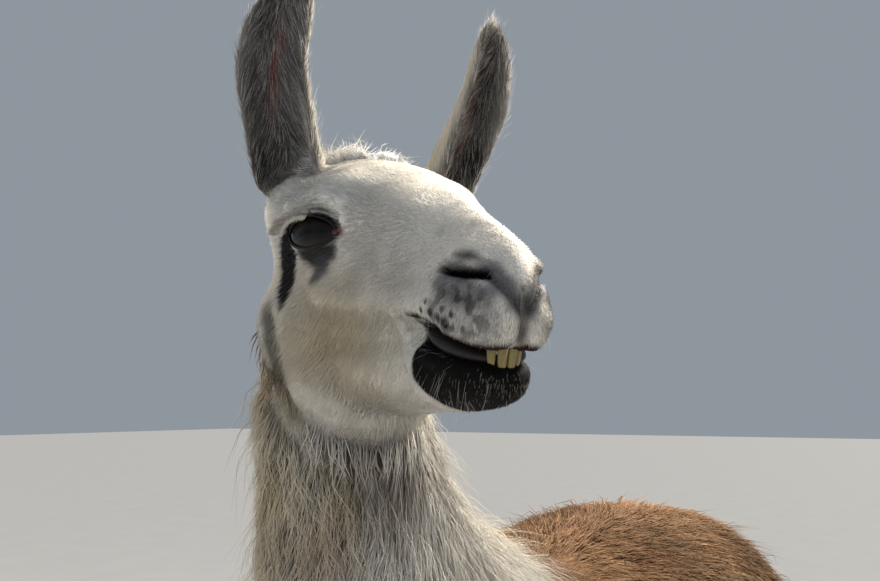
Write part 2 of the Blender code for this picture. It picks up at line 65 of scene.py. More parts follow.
limbs = [f"{end}_{part}_{side}" for end in ("front", "hind") for part in ("leg", "foot") for side in signs]
fleshNodes = ["head", "lower_jaw", "neck", "trunk", "tail"] + ears + limbs


def linear(code):
    # sRGB hex to linear red, green and blue
    parts = [int(code[i:i + 2], 16) / 255 for i in (1, 3, 5)]
    return np.array([c / 12.92 if c <= 0.04045 else ((c + 0.055) / 1.055) ** 2.4 for c in parts])


def middle(node):
    low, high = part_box(node)
    return (low + high) / 2


def ease(low, high, value):
    # 0 at low, 1 at high, smooth between
    t = np.clip((value - low) / (high - low), 0, 1)
    return t * t * (3 - 2 * t)


def near(points, centre, radius):
    # 1 at the centre, falling off smoothly; radius may differ by axis
    gap = (points - np.array(centre)) / np.array(radius)
    return np.exp(-(gap * gap).sum(1))


def unit(vectors):
    return vectors / np.maximum(np.linalg.norm(vectors, axis=1, keepdims=True), 1e-9)


def dot(a, b):
    return (a * b).sum(1)


def cloud(points, size, seed):
    # a smooth random field from -1 to 1, with lumps of the given size in metres
    cell = points / size + seed * 7.31
    base = np.floor(cell).astype(np.int64)
    part = cell - base
    part = part * part * (3 - 2 * part)
    total = np.zeros(len(points))
    for corner in range(8):
        step = np.array([(corner >> axis) & 1 for axis in range(3)])
        key = base + step
        key = (key[:, 0] * 73856093) ^ (key[:, 1] * 19349663) ^ (key[:, 2] * 83492791) ^ (seed * 9176)
        key = ((key ^ (key >> 13)) * 1274126177) & 0x7FFFFFFF
        key = ((key ^ (key >> 15)) * 668265263) & 0x7FFFFFFF
        total += np.prod(np.where(step, part, 1 - part), axis=1) * (key / 0x3FFFFFFF - 1)
    return total


def paint(colour, target, amount):
    # colour moved towards the target by amount, point by point
    return colour + (target - colour) * np.clip(amount, 0, 1)[:, None]


def rowsOf(items, field, width, kind=float):
    flat = np.empty(len(items) * width, kind)
    items.foreach_get(field, flat)
    return flat.reshape(-1, width)


def pointsOf(mesh):
    return rowsOf(mesh.vertices, "co", 3)


def normalsOf(mesh):
    return rowsOf(mesh.vertex_normals, "vector", 3)


def edgesOf(mesh):
    return rowsOf(mesh.edges, "vertices", 2, np.int64)


def setPoints(mesh, points):
    mesh.vertices.foreach_set("co", points.ravel())
    mesh.update()


def surfaceOf(points, mesh):
    return BVHTree.FromPolygons(points.tolist(), [list(face.vertices) for face in mesh.polygons])


def relaxed(values, edges, rounds, weight):
    # each row moves towards the average of its neighbours' rows; weight may differ by point
    rows = values.astype(float).reshape(len(values), -1)
    a, b = edges.T
    size = len(rows)
    count = np.maximum(np.bincount(a, minlength=size) + np.bincount(b, minlength=size), 1)[:, None]
    weight = np.broadcast_to(np.asarray(weight, float), size)[:, None]
    for _ in range(rounds):
        total = np.stack([
            np.bincount(a, column[b], size) + np.bincount(b, column[a], size) for column in rows.T], axis=1)
        rows = rows + (total / count - rows) * weight
    return rows.reshape(values.shape)


def mergedCopy(node):
    # a solid's loose triangles as one closed shape
    shape = bmesh.new()
    shape.from_mesh(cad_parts[node].data)
    bmesh.ops.remove_doubles(shape, verts=shape.verts, dist=0.00005)
    return shape


def newPiece(name, mesh):
    piece = bpy.data.objects.new(name, mesh)
    bpy.context.scene.collection.objects.link(piece)
    return piece


def meshFrom(name, shape):
    mesh = bpy.data.meshes.new(name)
    shape.to_mesh(mesh)
    shape.free()
    return mesh


def dressed(piece, material, nodes=()):
    # the piece smooth, in its material, riding on the body
    mesh = piece.data
    mesh.materials.clear()
    mesh.materials.append(material)
    mesh.polygons.foreach_set("use_smooth", np.ones(len(mesh.polygons), bool))
    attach(piece, "root")
    if nodes:
        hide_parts(*nodes)
    return piece


def shaped(piece, kind, **settings):
    # one modifier added and applied
    modifier = piece.modifiers.new(kind.lower(), kind)
    for key, value in settings.items():
        setattr(modifier, key, value)
    graph = bpy.context.evaluated_depsgraph_get()
    mesh = bpy.data.meshes.new_from_object(piece.evaluated_get(graph))
    piece.modifiers.clear()
    old = piece.data
    piece.data = mesh
    bpy.data.meshes.remove(old)


# the head's own axes: x to the nose, y to its left, z to the crown, origin between the eyes
head = {"dip": 6.0, "eyeBack": -0.0115, "eyeDrop": -0.005}
eyeMiddles = {side: middle(f"eye_{side}") for side in signs}
acrossAxis = (eyeMiddles["left"] - eyeMiddles["right"]).normalized()
noseLevel = acrossAxis.cross(up).normalized()
dip = math.radians(head["dip"])
noseAxis = noseLevel * math.cos(dip) - up * math.sin(dip)
crownAxis = noseAxis.cross(acrossAxis)
headOrigin = (eyeMiddles["left"] + eyeMiddles["right"]) / 2
headOrigin = headOrigin - noseAxis * head["eyeBack"] - crownAxis * head["eyeDrop"]
headAxes = np.array([noseAxis, acrossAxis, crownAxis])    # rows
headMatrix = Matrix.Translation(headOrigin) @ Matrix(headAxes.tolist()).transposed().to_4x4()


def toHead(points):
    return (points - np.array(headOrigin)) @ headAxes.T


def fromHead(points):
    return points @ headAxes + np.array(headOrigin)


def bothSides(local):
    # head places with the right side laid over the left
    return np.stack([local[:, 0], np.abs(local[:, 1]), local[:, 2]], axis=1)


def metres(path, sign=1):
    return np.array(path, float) * mm * (1, sign, 1)


view = {"bearing": 29.0, "aside": 0.029, "back": 0.563, "below": 0.136, "tilt": 9.2, "lens": 30.15}
bearing = math.radians(view["bearing"])
viewRight = Vector((math.cos(bearing), math.sin(bearing), 0))
viewAway = Vector((-math.sin(bearing), math.cos(bearing), 0))
camera = newPiece("camera", bpy.data.cameras.new("camera"))
camera.location = headOrigin + viewRight * view["aside"] - viewAway * view["back"] - up * view["below"]
camera.rotation_euler = (math.radians(90 + view["tilt"]), 0, bearing)
camera.data.lens = view["lens"]
camera.data.sensor_width = 36
camera.data.clip_start = 0.02
bpy.context.scene.camera = camera

# bearing from straight behind the head as the camera sees it, height angle, distance, size, watts, colour
lamps = {
    "key": (58, 46, 2.6, 0.8, 150, "#fff4e2"),
    "back": (-40, 42, 2.6, 0.9, 50, "#fff6ea"),
    "fill": (215, 12, 3.2, 2.6, 26, "#e3e9f3"),
}
even = {"energy": 3.6, "angle": math.radians(12), "color": linear("#fff6e8")}
studio = {"colour": "#c3cdd8", "strength": 0.50}


def addLamp(name, turn, height, distance, size, watts, colour):
    turn, height = math.radians(turn), math.radians(height)
    way = (viewAway * math.cos(turn) + viewRight * math.sin(turn)) * math.cos(height) + up * math.sin(height)
    lamp = bpy.data.lights.new(name, "AREA")
    lamp.shape, lamp.size, lamp.energy, lamp.color = "DISK", size, watts, linear(colour)
    holder = newPiece(name, lamp)
    holder.location = headOrigin + way * distance
    holder.visible_glossy = name == "key"    # a broad soft light would whiten the eyes
    holder.rotation_euler = (-way).to_track_quat("-Z", "Y").to_euler()
    return holder


def addLight():
    holders = {name: addLamp(name, *settings) for name, settings in lamps.items()}
    # an even light from the key's side, so that the floor is pale everywhere
    evenLight = bpy.data.lights.new("even", "SUN")
    for key, value in even.items():
        setattr(evenLight, key, value)
    newPiece("even", evenLight).rotation_euler = holders["key"].rotation_euler
    world = bpy.data.worlds.new("studio")
    bpy.context.scene.world = world
    world.use_nodes = True
    sky = world.node_tree.nodes["Background"]
    sky.inputs["Color"].default_value = (*linear(studio["colour"]), 1)
    sky.inputs["Strength"].default_value = studio["strength"]
    bpy.context.scene.view_settings.view_transform = "Standard"
    print("camera and lights done")


def addNode(tree, kind, settings=(), links=()):
    # one node: settings by name on the node or its inputs, links as input -> output socket
    node = tree.nodes.new(kind)
    for key, value in dict(settings).items():
        if isinstance(key, str) and hasattr(node, key):
            setattr(node, key, value)
        else:
            node.inputs[key].default_value = value
    for key, socket in dict(links).items():
        tree.links.new(socket, node.inputs[key])
    return node


def newMaterial(name, **settings):
    # settings: values that are the same all over, set on the shader's own sockets
    material = bpy.data.materials.new(name)
    material.use_nodes = True
    shader = material.node_tree.nodes["Principled BSDF"]
    for key, value in settings.items():
        shader.inputs[key.replace("_", " ")].default_value = value
    return material, material.node_tree, shader


def grained(name, pattern, grain, tones, bump=0.0, **settings):
    # two tones mixed by a fine pattern on the piece's own coordinates, the same pattern as bump
    material, tree, shader = newMaterial(name, **settings)
    place = addNode(tree, "ShaderNodeTexCoord")
    texture = addNode(tree, f"ShaderNodeTex{pattern}", grain, {"Vector": place.outputs["Object"]})
    figure = texture.outputs["Fac"]
    low, high = ((*tone, 1) for tone in tones)
    tone = addNode(tree, "ShaderNodeMix", {"data_type": "RGBA", 6: low, 7: high}, {0: figure})
    tree.links.new(tone.outputs[2], shader.inputs["Base Color"])
    if bump:
        relief = addNode(tree, "ShaderNodeBump", {"Strength": bump, "Distance": 0.0004}, {"Height": figure})
        tree.links.new(relief.outputs[0], shader.inputs["Normal"])
    return material


floorSheet = {"size": 40, "tones": ("#aeafb0", "#b8b8b7"), "grain": {"Scale": 3.0, "Detail": 4.0}}


def makeFloor():
    sheet = bmesh.new()
    bmesh.ops.create_grid(sheet, x_segments=2, y_segments=2, size=floorSheet["size"])
    floor = newPiece("floor", meshFrom("floor", sheet))
    # rolled matt paint, pale, with broad faint clouds a third of a metre across
    tones = [linear(code) for code in floorSheet["tones"]]
    floor.data.materials.append(grained("painted_floor", "Noise", floorSheet["grain"], tones, Roughness=0.85))


# one skin for all the flesh, inside the coat's outline by the coat's depth
skinBuild = {
    "swell": 0.0008,        # closes the clear spaces between the solids
    "voxel": 0.003,
    "steps": 6,
    "keep": 0.108,          # share of the faces kept, nearly all of them on the head
    "lowest": 0.002,
}
depths = {"neck": 20, "trunk": 34, "tail": 26, "leg": 7, "thigh": 26, "foot": 3, "face": 2.5, "ear": 1.5,
          "nape": 12, "topknot": 10, "lips": -1.2}    # depth of the coat in millimetres
depths = {name: depth * mm for name, depth in depths.items()}


def lipLine(x):
    # height of the line between the lips
    return -0.0768 - 0.257 * (x - 0.113)


def cutTeeth(piece):
    # the teeth are pieces of their own, so the jaw's copy loses them
    local = toHead(np.array([vert.co for vert in piece.verts]))
    levels = lipLine(local[:, 0]) + teeth["cutOver"]
    for vert, place, level in zip(piece.verts, local, levels):
        if place[0] > teeth["cutFrom"] and place[2] > level:
            place[2] = level
            vert.co = Vector(fromHead(place))


def fleshCopy():
    # copies of the solids, each merged and swollen a little, in one mesh; also a label for each face
    joined = bmesh.new()
    labels = []
    for node in fleshNodes:
        piece = mergedCopy(node)
        piece.normal_update()
        if node == "lower_jaw":
            cutTeeth(piece)
        for vert in piece.verts:
            vert.co += vert.normal * skinBuild["swell"]
        mesh = meshFrom(node + "_copy", piece)
        joined.from_mesh(mesh)
        labels += [node] * len(mesh.polygons)
        bpy.data.meshes.remove(mesh)
    return meshFrom("skin", joined), np.array(labels)


# the eyeball: half sizes along the lids, upwards and outwards, its place, the way it looks, the gap to its
# lids, and how far the cornea stands out and how wide it is
eye = {"long": 0.0300, "high": 0.0205, "deep": 0.0180, "back": -0.0170, "out": 0.0602, "drop": -0.005,
       "bearing": 61.7, "gap": 0.0004, "corneaRise": 0.0012, "corneaReach": 0.0130}
eyeCentre, eyeAxes, eyeMatrix = {}, {}, {}
for side, sign in signs.items():
    turn = math.radians(eye["bearing"])
    inner = noseAxis * math.sin(turn) - acrossAxis * (sign * math.cos(turn))
    outward = noseAxis * math.cos(turn) + acrossAxis * (sign * math.sin(turn))
    centre = headOrigin + noseAxis * eye["back"] + acrossAxis * (sign * eye["out"]) + crownAxis * eye["drop"]
    eyeCentre[side] = np.array(centre)
    eyeAxes[side] = np.array([inner, crownAxis, outward])    # to the inner corner, up, out of the socket
    eyeMatrix[side] = Matrix.Translation(centre) @ Matrix((inner, crownAxis, outward)).transposed().to_4x4()


def startSkin():
    mesh, labels = fleshCopy()
    finder = surfaceOf(pointsOf(mesh), mesh)
    filled = bmesh.new()
    filled.from_mesh(mesh)
    for side in signs:                  # the sockets are filled, and carved again later
        ball = bmesh.ops.create_icosphere(filled, subdivisions=3, radius=1)["verts"]
        bmesh.ops.scale(filled, verts=ball, vec=(eye["long"] * 0.9, eye["high"], eye["deep"]))
        bmesh.ops.transform(filled, matrix=eyeMatrix[side], verts=ball)
    filled.to_mesh(mesh)
    filled.free()
    skin = newPiece("skin", mesh)
    shaped(skin, "REMESH", mode="VOXEL", voxel_size=skinBuild["voxel"])
    return skin, finder, labels


def labelled(points):
    # the name of the solid that each point belongs to
    found = [flesh.find_nearest(point)[2] for point in points.tolist()]
    return faceLabels[np.array(found)]


def readSkin(skin):
    points = pointsOf(skin.data)
    return skin.data, edgesOf(skin.data), points, labelled(points)


def coatDepth(points, labels):
    # how far the skin lies inside the coat's tips
    local = toHead(points)
    depth = np.full(len(points), depths["face"])
    depth += ease(-0.060, -0.140, local[:, 0]) * depths["nape"]
    depth += near(local, (-0.095, 0, 0.080), (0.035, 0.034, 0.030)) * depths["topknot"]
    depth += ease(0.095, 0.125, local[:, 0]) * ease(-0.045, -0.060, local[:, 2]) * depths["lips"]
    for name in ("neck", "trunk", "tail"):
        depth[labels == name] = depths[name]
    depth[np.isin(labels, ears)] = depths["ear"]
    leg = np.char.find(labels, "_leg_") > 0
    depth[leg] = depths["leg"] + depths["thigh"] * ease(0.42, 0.66, points[leg][:, 2])
    depth[np.char.find(labels, "_foot_") > 0] = depths["foot"]
    return depth


def shrinkSkin(skin):
    mesh, edges, points, labels = readSkin(skin)
    isEar = np.isin(labels, ears)
    isHead = np.isin(labels, ("head", "lower_jaw"))
    isFoot = np.char.find(labels, "_foot_") > 0
    depth = relaxed(coatDepth(points, labels), edges, 30, np.where(isHead | isEar, 0.2, 0.6))
    softness = np.select([isEar | isFoot, isHead], [0.12, 0.22], 0.5)
    points = relaxed(points, edges, 6, softness)
    for _ in range(skinBuild["steps"]):
        setPoints(mesh, points)
        points = points - normalsOf(mesh) * (depth / skinBuild["steps"])[:, None]
        points = relaxed(points, edges, 3, softness)
    points[:, 2] = np.maximum(points[:, 2], skinBuild["lowest"])
    setPoints(mesh, points)
    shaped(skin, "REMESH", mode="VOXEL", voxel_size=skinBuild["voxel"])


def thinSkin(skin):
    # large faces under the wool, small ones on the head and feet
    points = pointsOf(skin.data)
    local = toHead(points)
    onHead = ease(-0.190, -0.165, local[:, 0]) * ease(-0.175, -0.150, local[:, 2])
    onFoot = ease(0.16, 0.11, points[:, 2])
    weight = 1 - np.maximum(onHead, onFoot * 0.985)
    group = skin.vertex_groups.new(name="body")
    for level in range(1, 11):
        chosen = np.flatnonzero(np.ceil(weight * 10) == level)
        group.add(chosen.tolist(), level / 10, "REPLACE")
    shaped(skin, "DECIMATE", ratio=skinBuild["keep"], vertex_group="body", vertex_group_factor=1.0)
    skin.vertex_groups.clear()


def restoreHead(skin):
    # smoothing thins the head and ears, so they are eased back out to the coat's depth
    mesh, edges, points, labels = readSkin(skin)
    depth = relaxed(coatDepth(points, labels), edges, 12, 0.4)
    onHead = relaxed(np.isin(labels, ["head", "lower_jaw"] + ears), edges, 6, 0.5)
    for _ in range(2):
        normals = normalsOf(mesh)
        short = np.zeros(len(points))
        for i in np.flatnonzero(onHead > 0.05):
            spot, way, _, far = flesh.find_nearest(points[i])
            inside = (spot - Vector(points[i])).dot(way) > 0
            short[i] = (far if inside else -far) - depth[i]
        short = relaxed(np.clip(short, -0.004, 0.014), edges, 8, 0.5) * onHead
        points = points + normals * short[:, None] * 0.8
        setPoints(mesh, points)
    setPoints(mesh, relaxed(points, edges, 8, np.isin(labels, ears) * 0.4))


def refineSkin(skin):
    # smaller faces round the eyes, nostrils and lips
    shape = bmesh.new()
    shape.from_mesh(skin.data)
    for finest, eyeReach in ((False, 0.050), (True, 0.038)):
        local = toHead(np.array([vert.co for vert in shape.verts]))
        x, y, z = local.T
        if finest:
            chosen = (x > 0.140) & (z > -0.056) & (z < -0.025)
            chosen |= (x > 0.150) & (np.abs(y) < 0.008) & (z > -0.10)
        else:
            chosen = (x > 0.092) & (z > -0.15)
        for side, sign in signs.items():
            gap = np.linalg.norm(local - toHead(eyeCentre[side]), axis=1)
            chosen |= (gap < eyeReach) & (sign * y > 0.030)
        for vert, wanted in zip(shape.verts, chosen):
            vert.tag = bool(wanted)
        edges = [edge for edge in shape.edges if edge.verts[0].tag and edge.verts[1].tag]
        bmesh.ops.subdivide_edges(shape, edges=edges, cuts=1, use_grid_fill=True, smooth=0.0)
    bmesh.ops.triangulate(shape, faces=[face for face in shape.faces if len(face.verts) > 4])
    shape.to_mesh(skin.data)
    shape.free()


def smoothSeams(skin):
    # the cheek runs over the jaw, and the nape into the neck, without a ledge
    mesh, edges, points, labels = readSkin(skin)
    x, _, z = toHead(points).T
    jaw, throat = (relaxed(labels == name, edges, 10, 0.5) for name in ("lower_jaw", "neck"))
    seam = 4 * jaw * (1 - jaw) * ease(0.100, 0.082, x) + 4 * throat * (1 - throat)
    seam = np.clip(seam * ease(1.28, 1.32, points[:, 2]), 0, 1)
    points = relaxed(points, edges, 30, 0.6 * seam)
    nape = ease(-0.075, -0.115, x) * ease(-0.145, -0.115, z) * ease(0.020, -0.010, z)
    setPoints(mesh, relaxed(points, edges, 160, 0.6 * nape))


nostril = [(138, 36, -37), (148, 33, -40), (160, 26, -43), (170, 15, -44.5)]
# forms of the face, both sides alike, in millimetres on the head's axes: path, width, height
faceForms = [
    ([(-50, 82, 21), (-30, 78, 25), (0, 70, 24), (20, 60, 16)], 6.5, 3.6),    # brow
    # crease over the lid
    ([(-55, 83, 10), (-40, 78, 15.5), (-10, 73.5, 15.5), (10, 67, 11.5), (18, 61, 6)], 2.4, -3),
    ([(-60, 85, -2), (-50, 82, 4), (-36, 78, 8.5), (-14, 74, 10)], 3.6, 1.8),    # lid
    ([(22, 57, -10), (40, 48, -24), (60, 43, -36)], 7, -1),    # tear trough
    ([(-20, 74, -30), (-2, 68, -32), (14, 62, -26)], 5, -1.2),    # under the eye
    ([(-4, 63, -54), (31, 51, -58), (73, 44, -60), (98, 39, -63.5)], 12, 3.2),    # cheekbone
    ([(95, 36, -20), (125, 30, -24), (148, 28, -26)], 9, 1.4),    # side of the nose
    ([(112, 38, -58), (140, 36, -64), (160, 30, -68)], 9, 2.6),    # upper lip
    ([(150, 33, -79), (165, 20, -80), (178, 9, -78)], 6, 3),    # its lower edge
    ([(176, 20, -68), (181, 13, -68)], 9, 2.6),    # lobe of the lip
    ([(98, 37, -77.5), (106, 36.5, -77.5), (118, 35, -78.5)], 2.6, -2.6),    # corner of the mouth
    ([(86, 41, -64), (93, 41, -78), (98, 37, -92)], 5, 2.2),    # fold behind it
    ([(112, 31, -89), (135, 27, -94), (155, 18, -98), (168, 6, -101)], 6, 4.2),    # lower lip
    ([(148, 33, -31), (160, 26, -34), (172, 17, -37.5)], 4.5, 3.2),    # wing of the nostril
    (nostril, 2.3, -11),
    ([(170, 16, -43.8), (180, 12.5, -49.7), (185, 8.5, -55.5), (187, 4.5, -61)], 2, -3.2),
    ([(186, 0, -50), (187, 0, -62), (185, 0, -75), (177, 0, -86)], 2.2, -5.5),    # cleft
    ([(145, 37, -47), (163, 28, -50), (176, 18, -55)], 7, 1.6),    # below the nostril
    ([(10, 30, 45), (55, 22, 34)], 10, -1.2),    # side of the bridge
    ([(-55, 90, -75), (-45, 85, -98), (-40, 77, -122), (-30, 64, -147)], 6.5, -5.5),    # throat
    ([(-20, 68, -122), (-12, 62, -128), (0, 50, -136)], 8, 3),    # corner of the jaw
]


def pathGap(points, path):
    # distance to a line through the given places, and how far along it, 0 to 1
    lengths = np.linalg.norm(np.diff(path, axis=0), axis=1)
    done = np.concatenate([[0], np.cumsum(lengths)]) / lengths.sum()
    best = np.full(len(points), 9.0)
    place = np.zeros(len(points))
    for start, end, low, high in zip(path[:-1], path[1:], done[:-1], done[1:]):
        line = end - start
        t = np.clip((points - start) @ line / (line @ line), 0, 1)
        gap = np.linalg.norm(points - start - t[:, None] * line, axis=1)
        closer = gap < best
        best[closer] = gap[closer]
        place[closer] = (low + (high - low) * t)[closer]
    return best, place


def snapped(path, surface):
    # the path with more places on it, each moved onto the surface
    steps = np.linspace(0, len(path) - 1, 4 * (len(path) - 1) + 1)
    dense = np.stack([np.interp(steps, range(len(path)), path[:, axis]) for axis in range(3)], axis=1)
    return np.array([surface.find_nearest(spot)[0] for spot in dense.tolist()])


def eyeSpace(points, side):
    # towards the inner corner, up, and out of the socket, from the eyeball's centre
    return ((points - eyeCentre[side]) @ eyeAxes[side].T).T


# opening of the lids: half length, height above and below the corners' line, tilt, and how round it is;
# then the lids' thickness, the hood over the outer corner, their least depth as a share of the ball's, how
# far round the eye the skin is moved, and how far it lies behind the ball
lids = {"long": 0.0255, "upper": 0.0132, "lower": 0.0124, "tilt": math.radians(-1), "shape": 1.75,
        "thick": 0.0022, "hood": 0.0042, "shelf": 0.42, "reach": 0.052, "behind": 0.0045}


def lidReach(along, high):
    # 1 on the lid's edge, less inside the opening; also the height over the corners' line
    c, s = math.cos(lids["tilt"]), math.sin(lids["tilt"])
    flat = along * c + high * s
    above = high * c - along * s
    tall = np.where(above > 0, lids["upper"], lids["lower"])
    return (np.abs(flat / lids["long"]) ** lids["shape"] + np.abs(above / tall) ** 2) ** 0.5, above


def ballDepth(along, high):
    # how far the ball's face stands out from its centre
    return eye["deep"] * np.sqrt(np.maximum(1 - (along / eye["long"]) ** 2 - (high / eye["high"]) ** 2, 0))


def lidDepth(along, high):
    # the lids lie on the ball, and beyond it on a shelf
    return np.maximum(ballDepth(along, high), lids["shelf"] * eye["deep"])


def sculptEyes(points):
    for side in signs:
        along, high, out = eyeSpace(points, side)
        reach, above = lidReach(along, high)
        close = (np.hypot(along, high) < lids["reach"]) & (out > -0.012)
        past = np.maximum(reach - 1, 0)
        lid = lidDepth(along, high) + lids["thick"] * np.exp(-past / 0.5)
        fade = np.exp(-(past / np.where(out < lid, 0.42, 0.26)) ** 2)
        outside = out + (lid - out) * fade
        upper = ease(-0.004, 0.004, above)
        crease = 1.38 + 0.10 * (1 - upper)
        roll = np.exp(-((reach - 1.20) / 0.10) ** 2) * (0.0006 + 0.0016 * upper)
        fold = roll - (0.0012 + 0.0014 * upper) * np.exp(-((reach - crease) / 0.06) ** 2)
        outside = outside + fold * ease(0.032, 0.020, np.abs(along))
        hood = ease(0.006, -0.012, along) * ease(-0.002, 0.005, above) * ease(-0.036, -0.026, along)
        outside = outside + lids["hood"] * hood * np.exp(-((reach - 1.12) / 0.14) ** 2)
        inside = np.minimum(out, ballDepth(along, high) - lids["behind"])
        target = inside + (outside - inside) * ease(0.92, 1.03, reach)
        points = points + np.where(close, target - out, 0)[:, None] * eyeAxes[side][2]
    return points


def sculptFace(skin):
    # the forms pressed into the skin; returns how far each point is inside a nostril
    mesh = skin.data
    normals = normalsOf(mesh) @ headAxes.T
    local = toHead(pointsOf(mesh))
    chosen = np.flatnonzero((local[:, 0] > -0.10) & (local[:, 2] > -0.15) & (np.abs(local[:, 1]) < 0.10))
    surface = surfaceOf(local, mesh)
    shift, slit = np.zeros((2, len(local)))
    for path, width, height in faceForms:
        for sign in ((1, -1) if any(spot[1] for spot in path) else (1,)):
            gap, _ = pathGap(local[chosen], snapped(metres(path, sign), surface))
            shift[chosen] += height * mm * np.exp(-(gap / (width * mm)) ** 2)
            if path is nostril:
                slit[chosen] += ease(0.0038, 0.0016, gap)
    setPoints(mesh, sculptEyes(fromHead(local + normals * shift[:, None])))
    return slit


# colours shared by the skin and the coat
shades = {
    "white": "#eeeae2", "cream": "#d3c29d", "grey": "#8d8983", "slate": "#4c4d55", "dark": "#0b0b0e",
    "nose": "#5a5a61", "lip": "#0d0c0a", "brown": "#866347", "tan": "#a38563", "umber": "#57402c",
    "earDark": "#2b2425", "pink": "#a2453c", "gum": "#2a1715", "belly": "#b99a78",
}
shades = {name: linear(code) for name, code in shades.items()}
# marks of the face, in millimetres on the head's axes: path, half widths, shade, strength
faceMarks = [
    # strip behind the eye
    ([(-43, 82, -5), (-43.5, 80, -18), (-44.5, 79, -31), (-46, 79, -44), (-43.5, 81, -55),
      (-42, 83, -65)], (11, 14.2, 13.8, 10.5, 6.2, 0.5), "dark", 1.0),
    ([(12, 62, -20), (-4, 68, -24), (-18, 74, -20)], (7, 9.5, 6), "dark", 0.95),
    ([(4, 64, -30), (-4, 66, -38), (-10, 68, -42)], (8, 6, 2), "slate", 0.85),
    ([(11, 56, -4.5), (19, 55, -6)], (5.2, 2.6), "pink", 0.85),
    ([(136, 36, -36.5), (155, 28, -40.5), (170, 15, -44)], (3.5, 5.5, 5), "slate", 0.95),
    ([(155, 29, -29), (161, 26, -31), (168, 21, -34.5)], (4.5, 5.5, 3), "dark", 0.85),
    ([(172, 16, -40), (182, 10, -50), (187, 3, -62)], (6, 6.5, 5), "nose", 0.9),
    ([(187, 0, -58), (186, 0, -72), (178, 0, -85)], (3.5, 3.5, 3), "dark", 0.85),
    ([(142, 36, -47), (160, 29, -52), (176, 19, -56)], (7.5, 8.5, 7), "nose", 0.8),
    ([(150, 34, -64), (166, 28, -68), (178, 19, -70)], (11, 12, 10), "nose", 0.45),
]
# small black spots over the corner of the mouth: place, radius
lipSpots = [
    ((128, 37, -64), 2.2), ((133, 36.5, -59), 1.5), ((139, 36.2, -65.5), 2.8), ((133, 36.2, -70), 1.8),
    ((148, 34.5, -69), 2.6), ((155, 32.5, -71.5), 3.4), ((161, 30, -67), 1.8), ((146, 35, -75), 1.6),
    ((166, 26, -74), 2.6), ((170, 25, -66), 1.4), ((141, 36, -76), 1.8), ((122, 37, -70), 1.4),
]
throatCrease = [(-58, 90, -66), (-50, 88, -88), (-42, 81, -111), (-37, 72, -134), (-28, 60, -152),
                (-10, 35, -168), (0, 0, -176)]
topBand = [(-75, 66, 44), (-53, 50, 53), (-47, 31, 62), (-36, 0, 66)]


def earHeight(points, side):
    # height along the ear from root to tip, 0 to 1
    low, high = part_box(f"ear_{side}")
    return np.clip((points[:, 2] - low.z) / (high.z - low.z), 0, 1)


def faceColours(colour, points, local, fine, soft, onHead):
    mirrored = bothSides(local)
    x = local[:, 0]
    # cheeks a little creamy, grey breath over the bridge
    cheek = 0.75 * near(mirrored, (0.01, 0.06, -0.085), (0.07, 0.05, 0.045)) + 0.12 * soft
    bridge = 0.40 * near(mirrored, (0.08, 0.04, -0.035), (0.06, 0.04, 0.035)) * (1 + soft)
    muzzle = 0.30 * ease(0.25, 0.8, cloud(points, 0.011, 45)) * onHead * ease(0.06, 0.13, x)
    for shade, amount in (("cream", cheek), ("grey", bridge), ("grey", muzzle)):
        colour = paint(colour, shades[shade], amount)
    for path, widths, shade, strength in faceMarks:
        gap, place = pathGap(mirrored, metres(path))
        reach = np.interp(place, np.linspace(0, 1, len(widths)), widths) * mm + 0.0009 * fine
        edge = 0.0011 if strength == 1.0 else 0.0042
        colour = paint(colour, shades[shade], onHead * strength * ease(reach + edge, reach - edge, gap))
    # dark lid margins, pale upper lid, and a painted shadow in the crease over it
    for side, sign in signs.items():
        along, high, out = eyeSpace(points, side)
        reach, above = lidReach(along, high)
        mine = onHead * (local[:, 1] * sign > 0) * (out > -0.012)
        upper = ease(0.0, 0.006, above)
        crease = np.exp(-((reach - 1.40 - 0.03 * fine) / 0.075) ** 2) * ease(0.034, 0.022, np.abs(along))
        front = ease(0.002, 0.016, along) * upper
        pale = upper * ease(0.004, -0.008, along) * ease(1.00, 1.08, reach) * ease(1.36, 1.26, reach)
        colour = paint(colour, shades["dark"], 0.80 * mine * crease * upper)
        colour = paint(colour, shades["dark"], mine * (0.75 * front + 0.25) * ease(1.38, 1.16, reach))
        colour = paint(colour, shades["white"], 0.95 * mine * pale)
        colour = paint(colour, shades["dark"], 0.95 * mine * ease(1.14, 1.05, reach))
    for spot, radius in lipSpots:
        gap = np.linalg.norm(mirrored - metres(spot), axis=1) - radius * mm
        colour = paint(colour, shades["dark"], onHead * 0.9 * ease(0.0008, -0.0008, gap))
    return colour


def patchColours(colour, points, labels, local, fine, soft, onHead):
    # black patch from the corner of the mouth over the lower lip and chin
    x, z = local[:, 0], local[:, 2]
    rear = 0.104 + 0.30 * np.maximum(-0.098 - z, 0) + 0.8 * np.maximum(-0.106 - z, 0) + 0.002 * fine
    below = ease(0.004, 0.001, z - lipLine(x))
    patch = ease(-0.002, 0.002, x - rear) * np.where(labels == "lower_jaw", 1, below)
    colour = paint(colour, shades["lip"], patch * onHead)
    # grey band before the topknot, and round the ears' roots
    gap, _ = pathGap(bothSides(local), metres(topBand))
    colour = paint(colour, shades["slate"], 0.60 * ease(0.0085, 0.0035, gap) * (0.8 + 0.5 * soft) * onHead)
    # upper lip flecked with dark skin between pale bristles
    fleck = ease(0.05, 0.40, cloud(points, 0.0040, 41))
    fleck = fleck * near(bothSides(local), (0.160, 0.028, -0.067), (0.028, 0.022, 0.017))
    return paint(colour, shades["lip"], 0.90 * fleck * onHead)


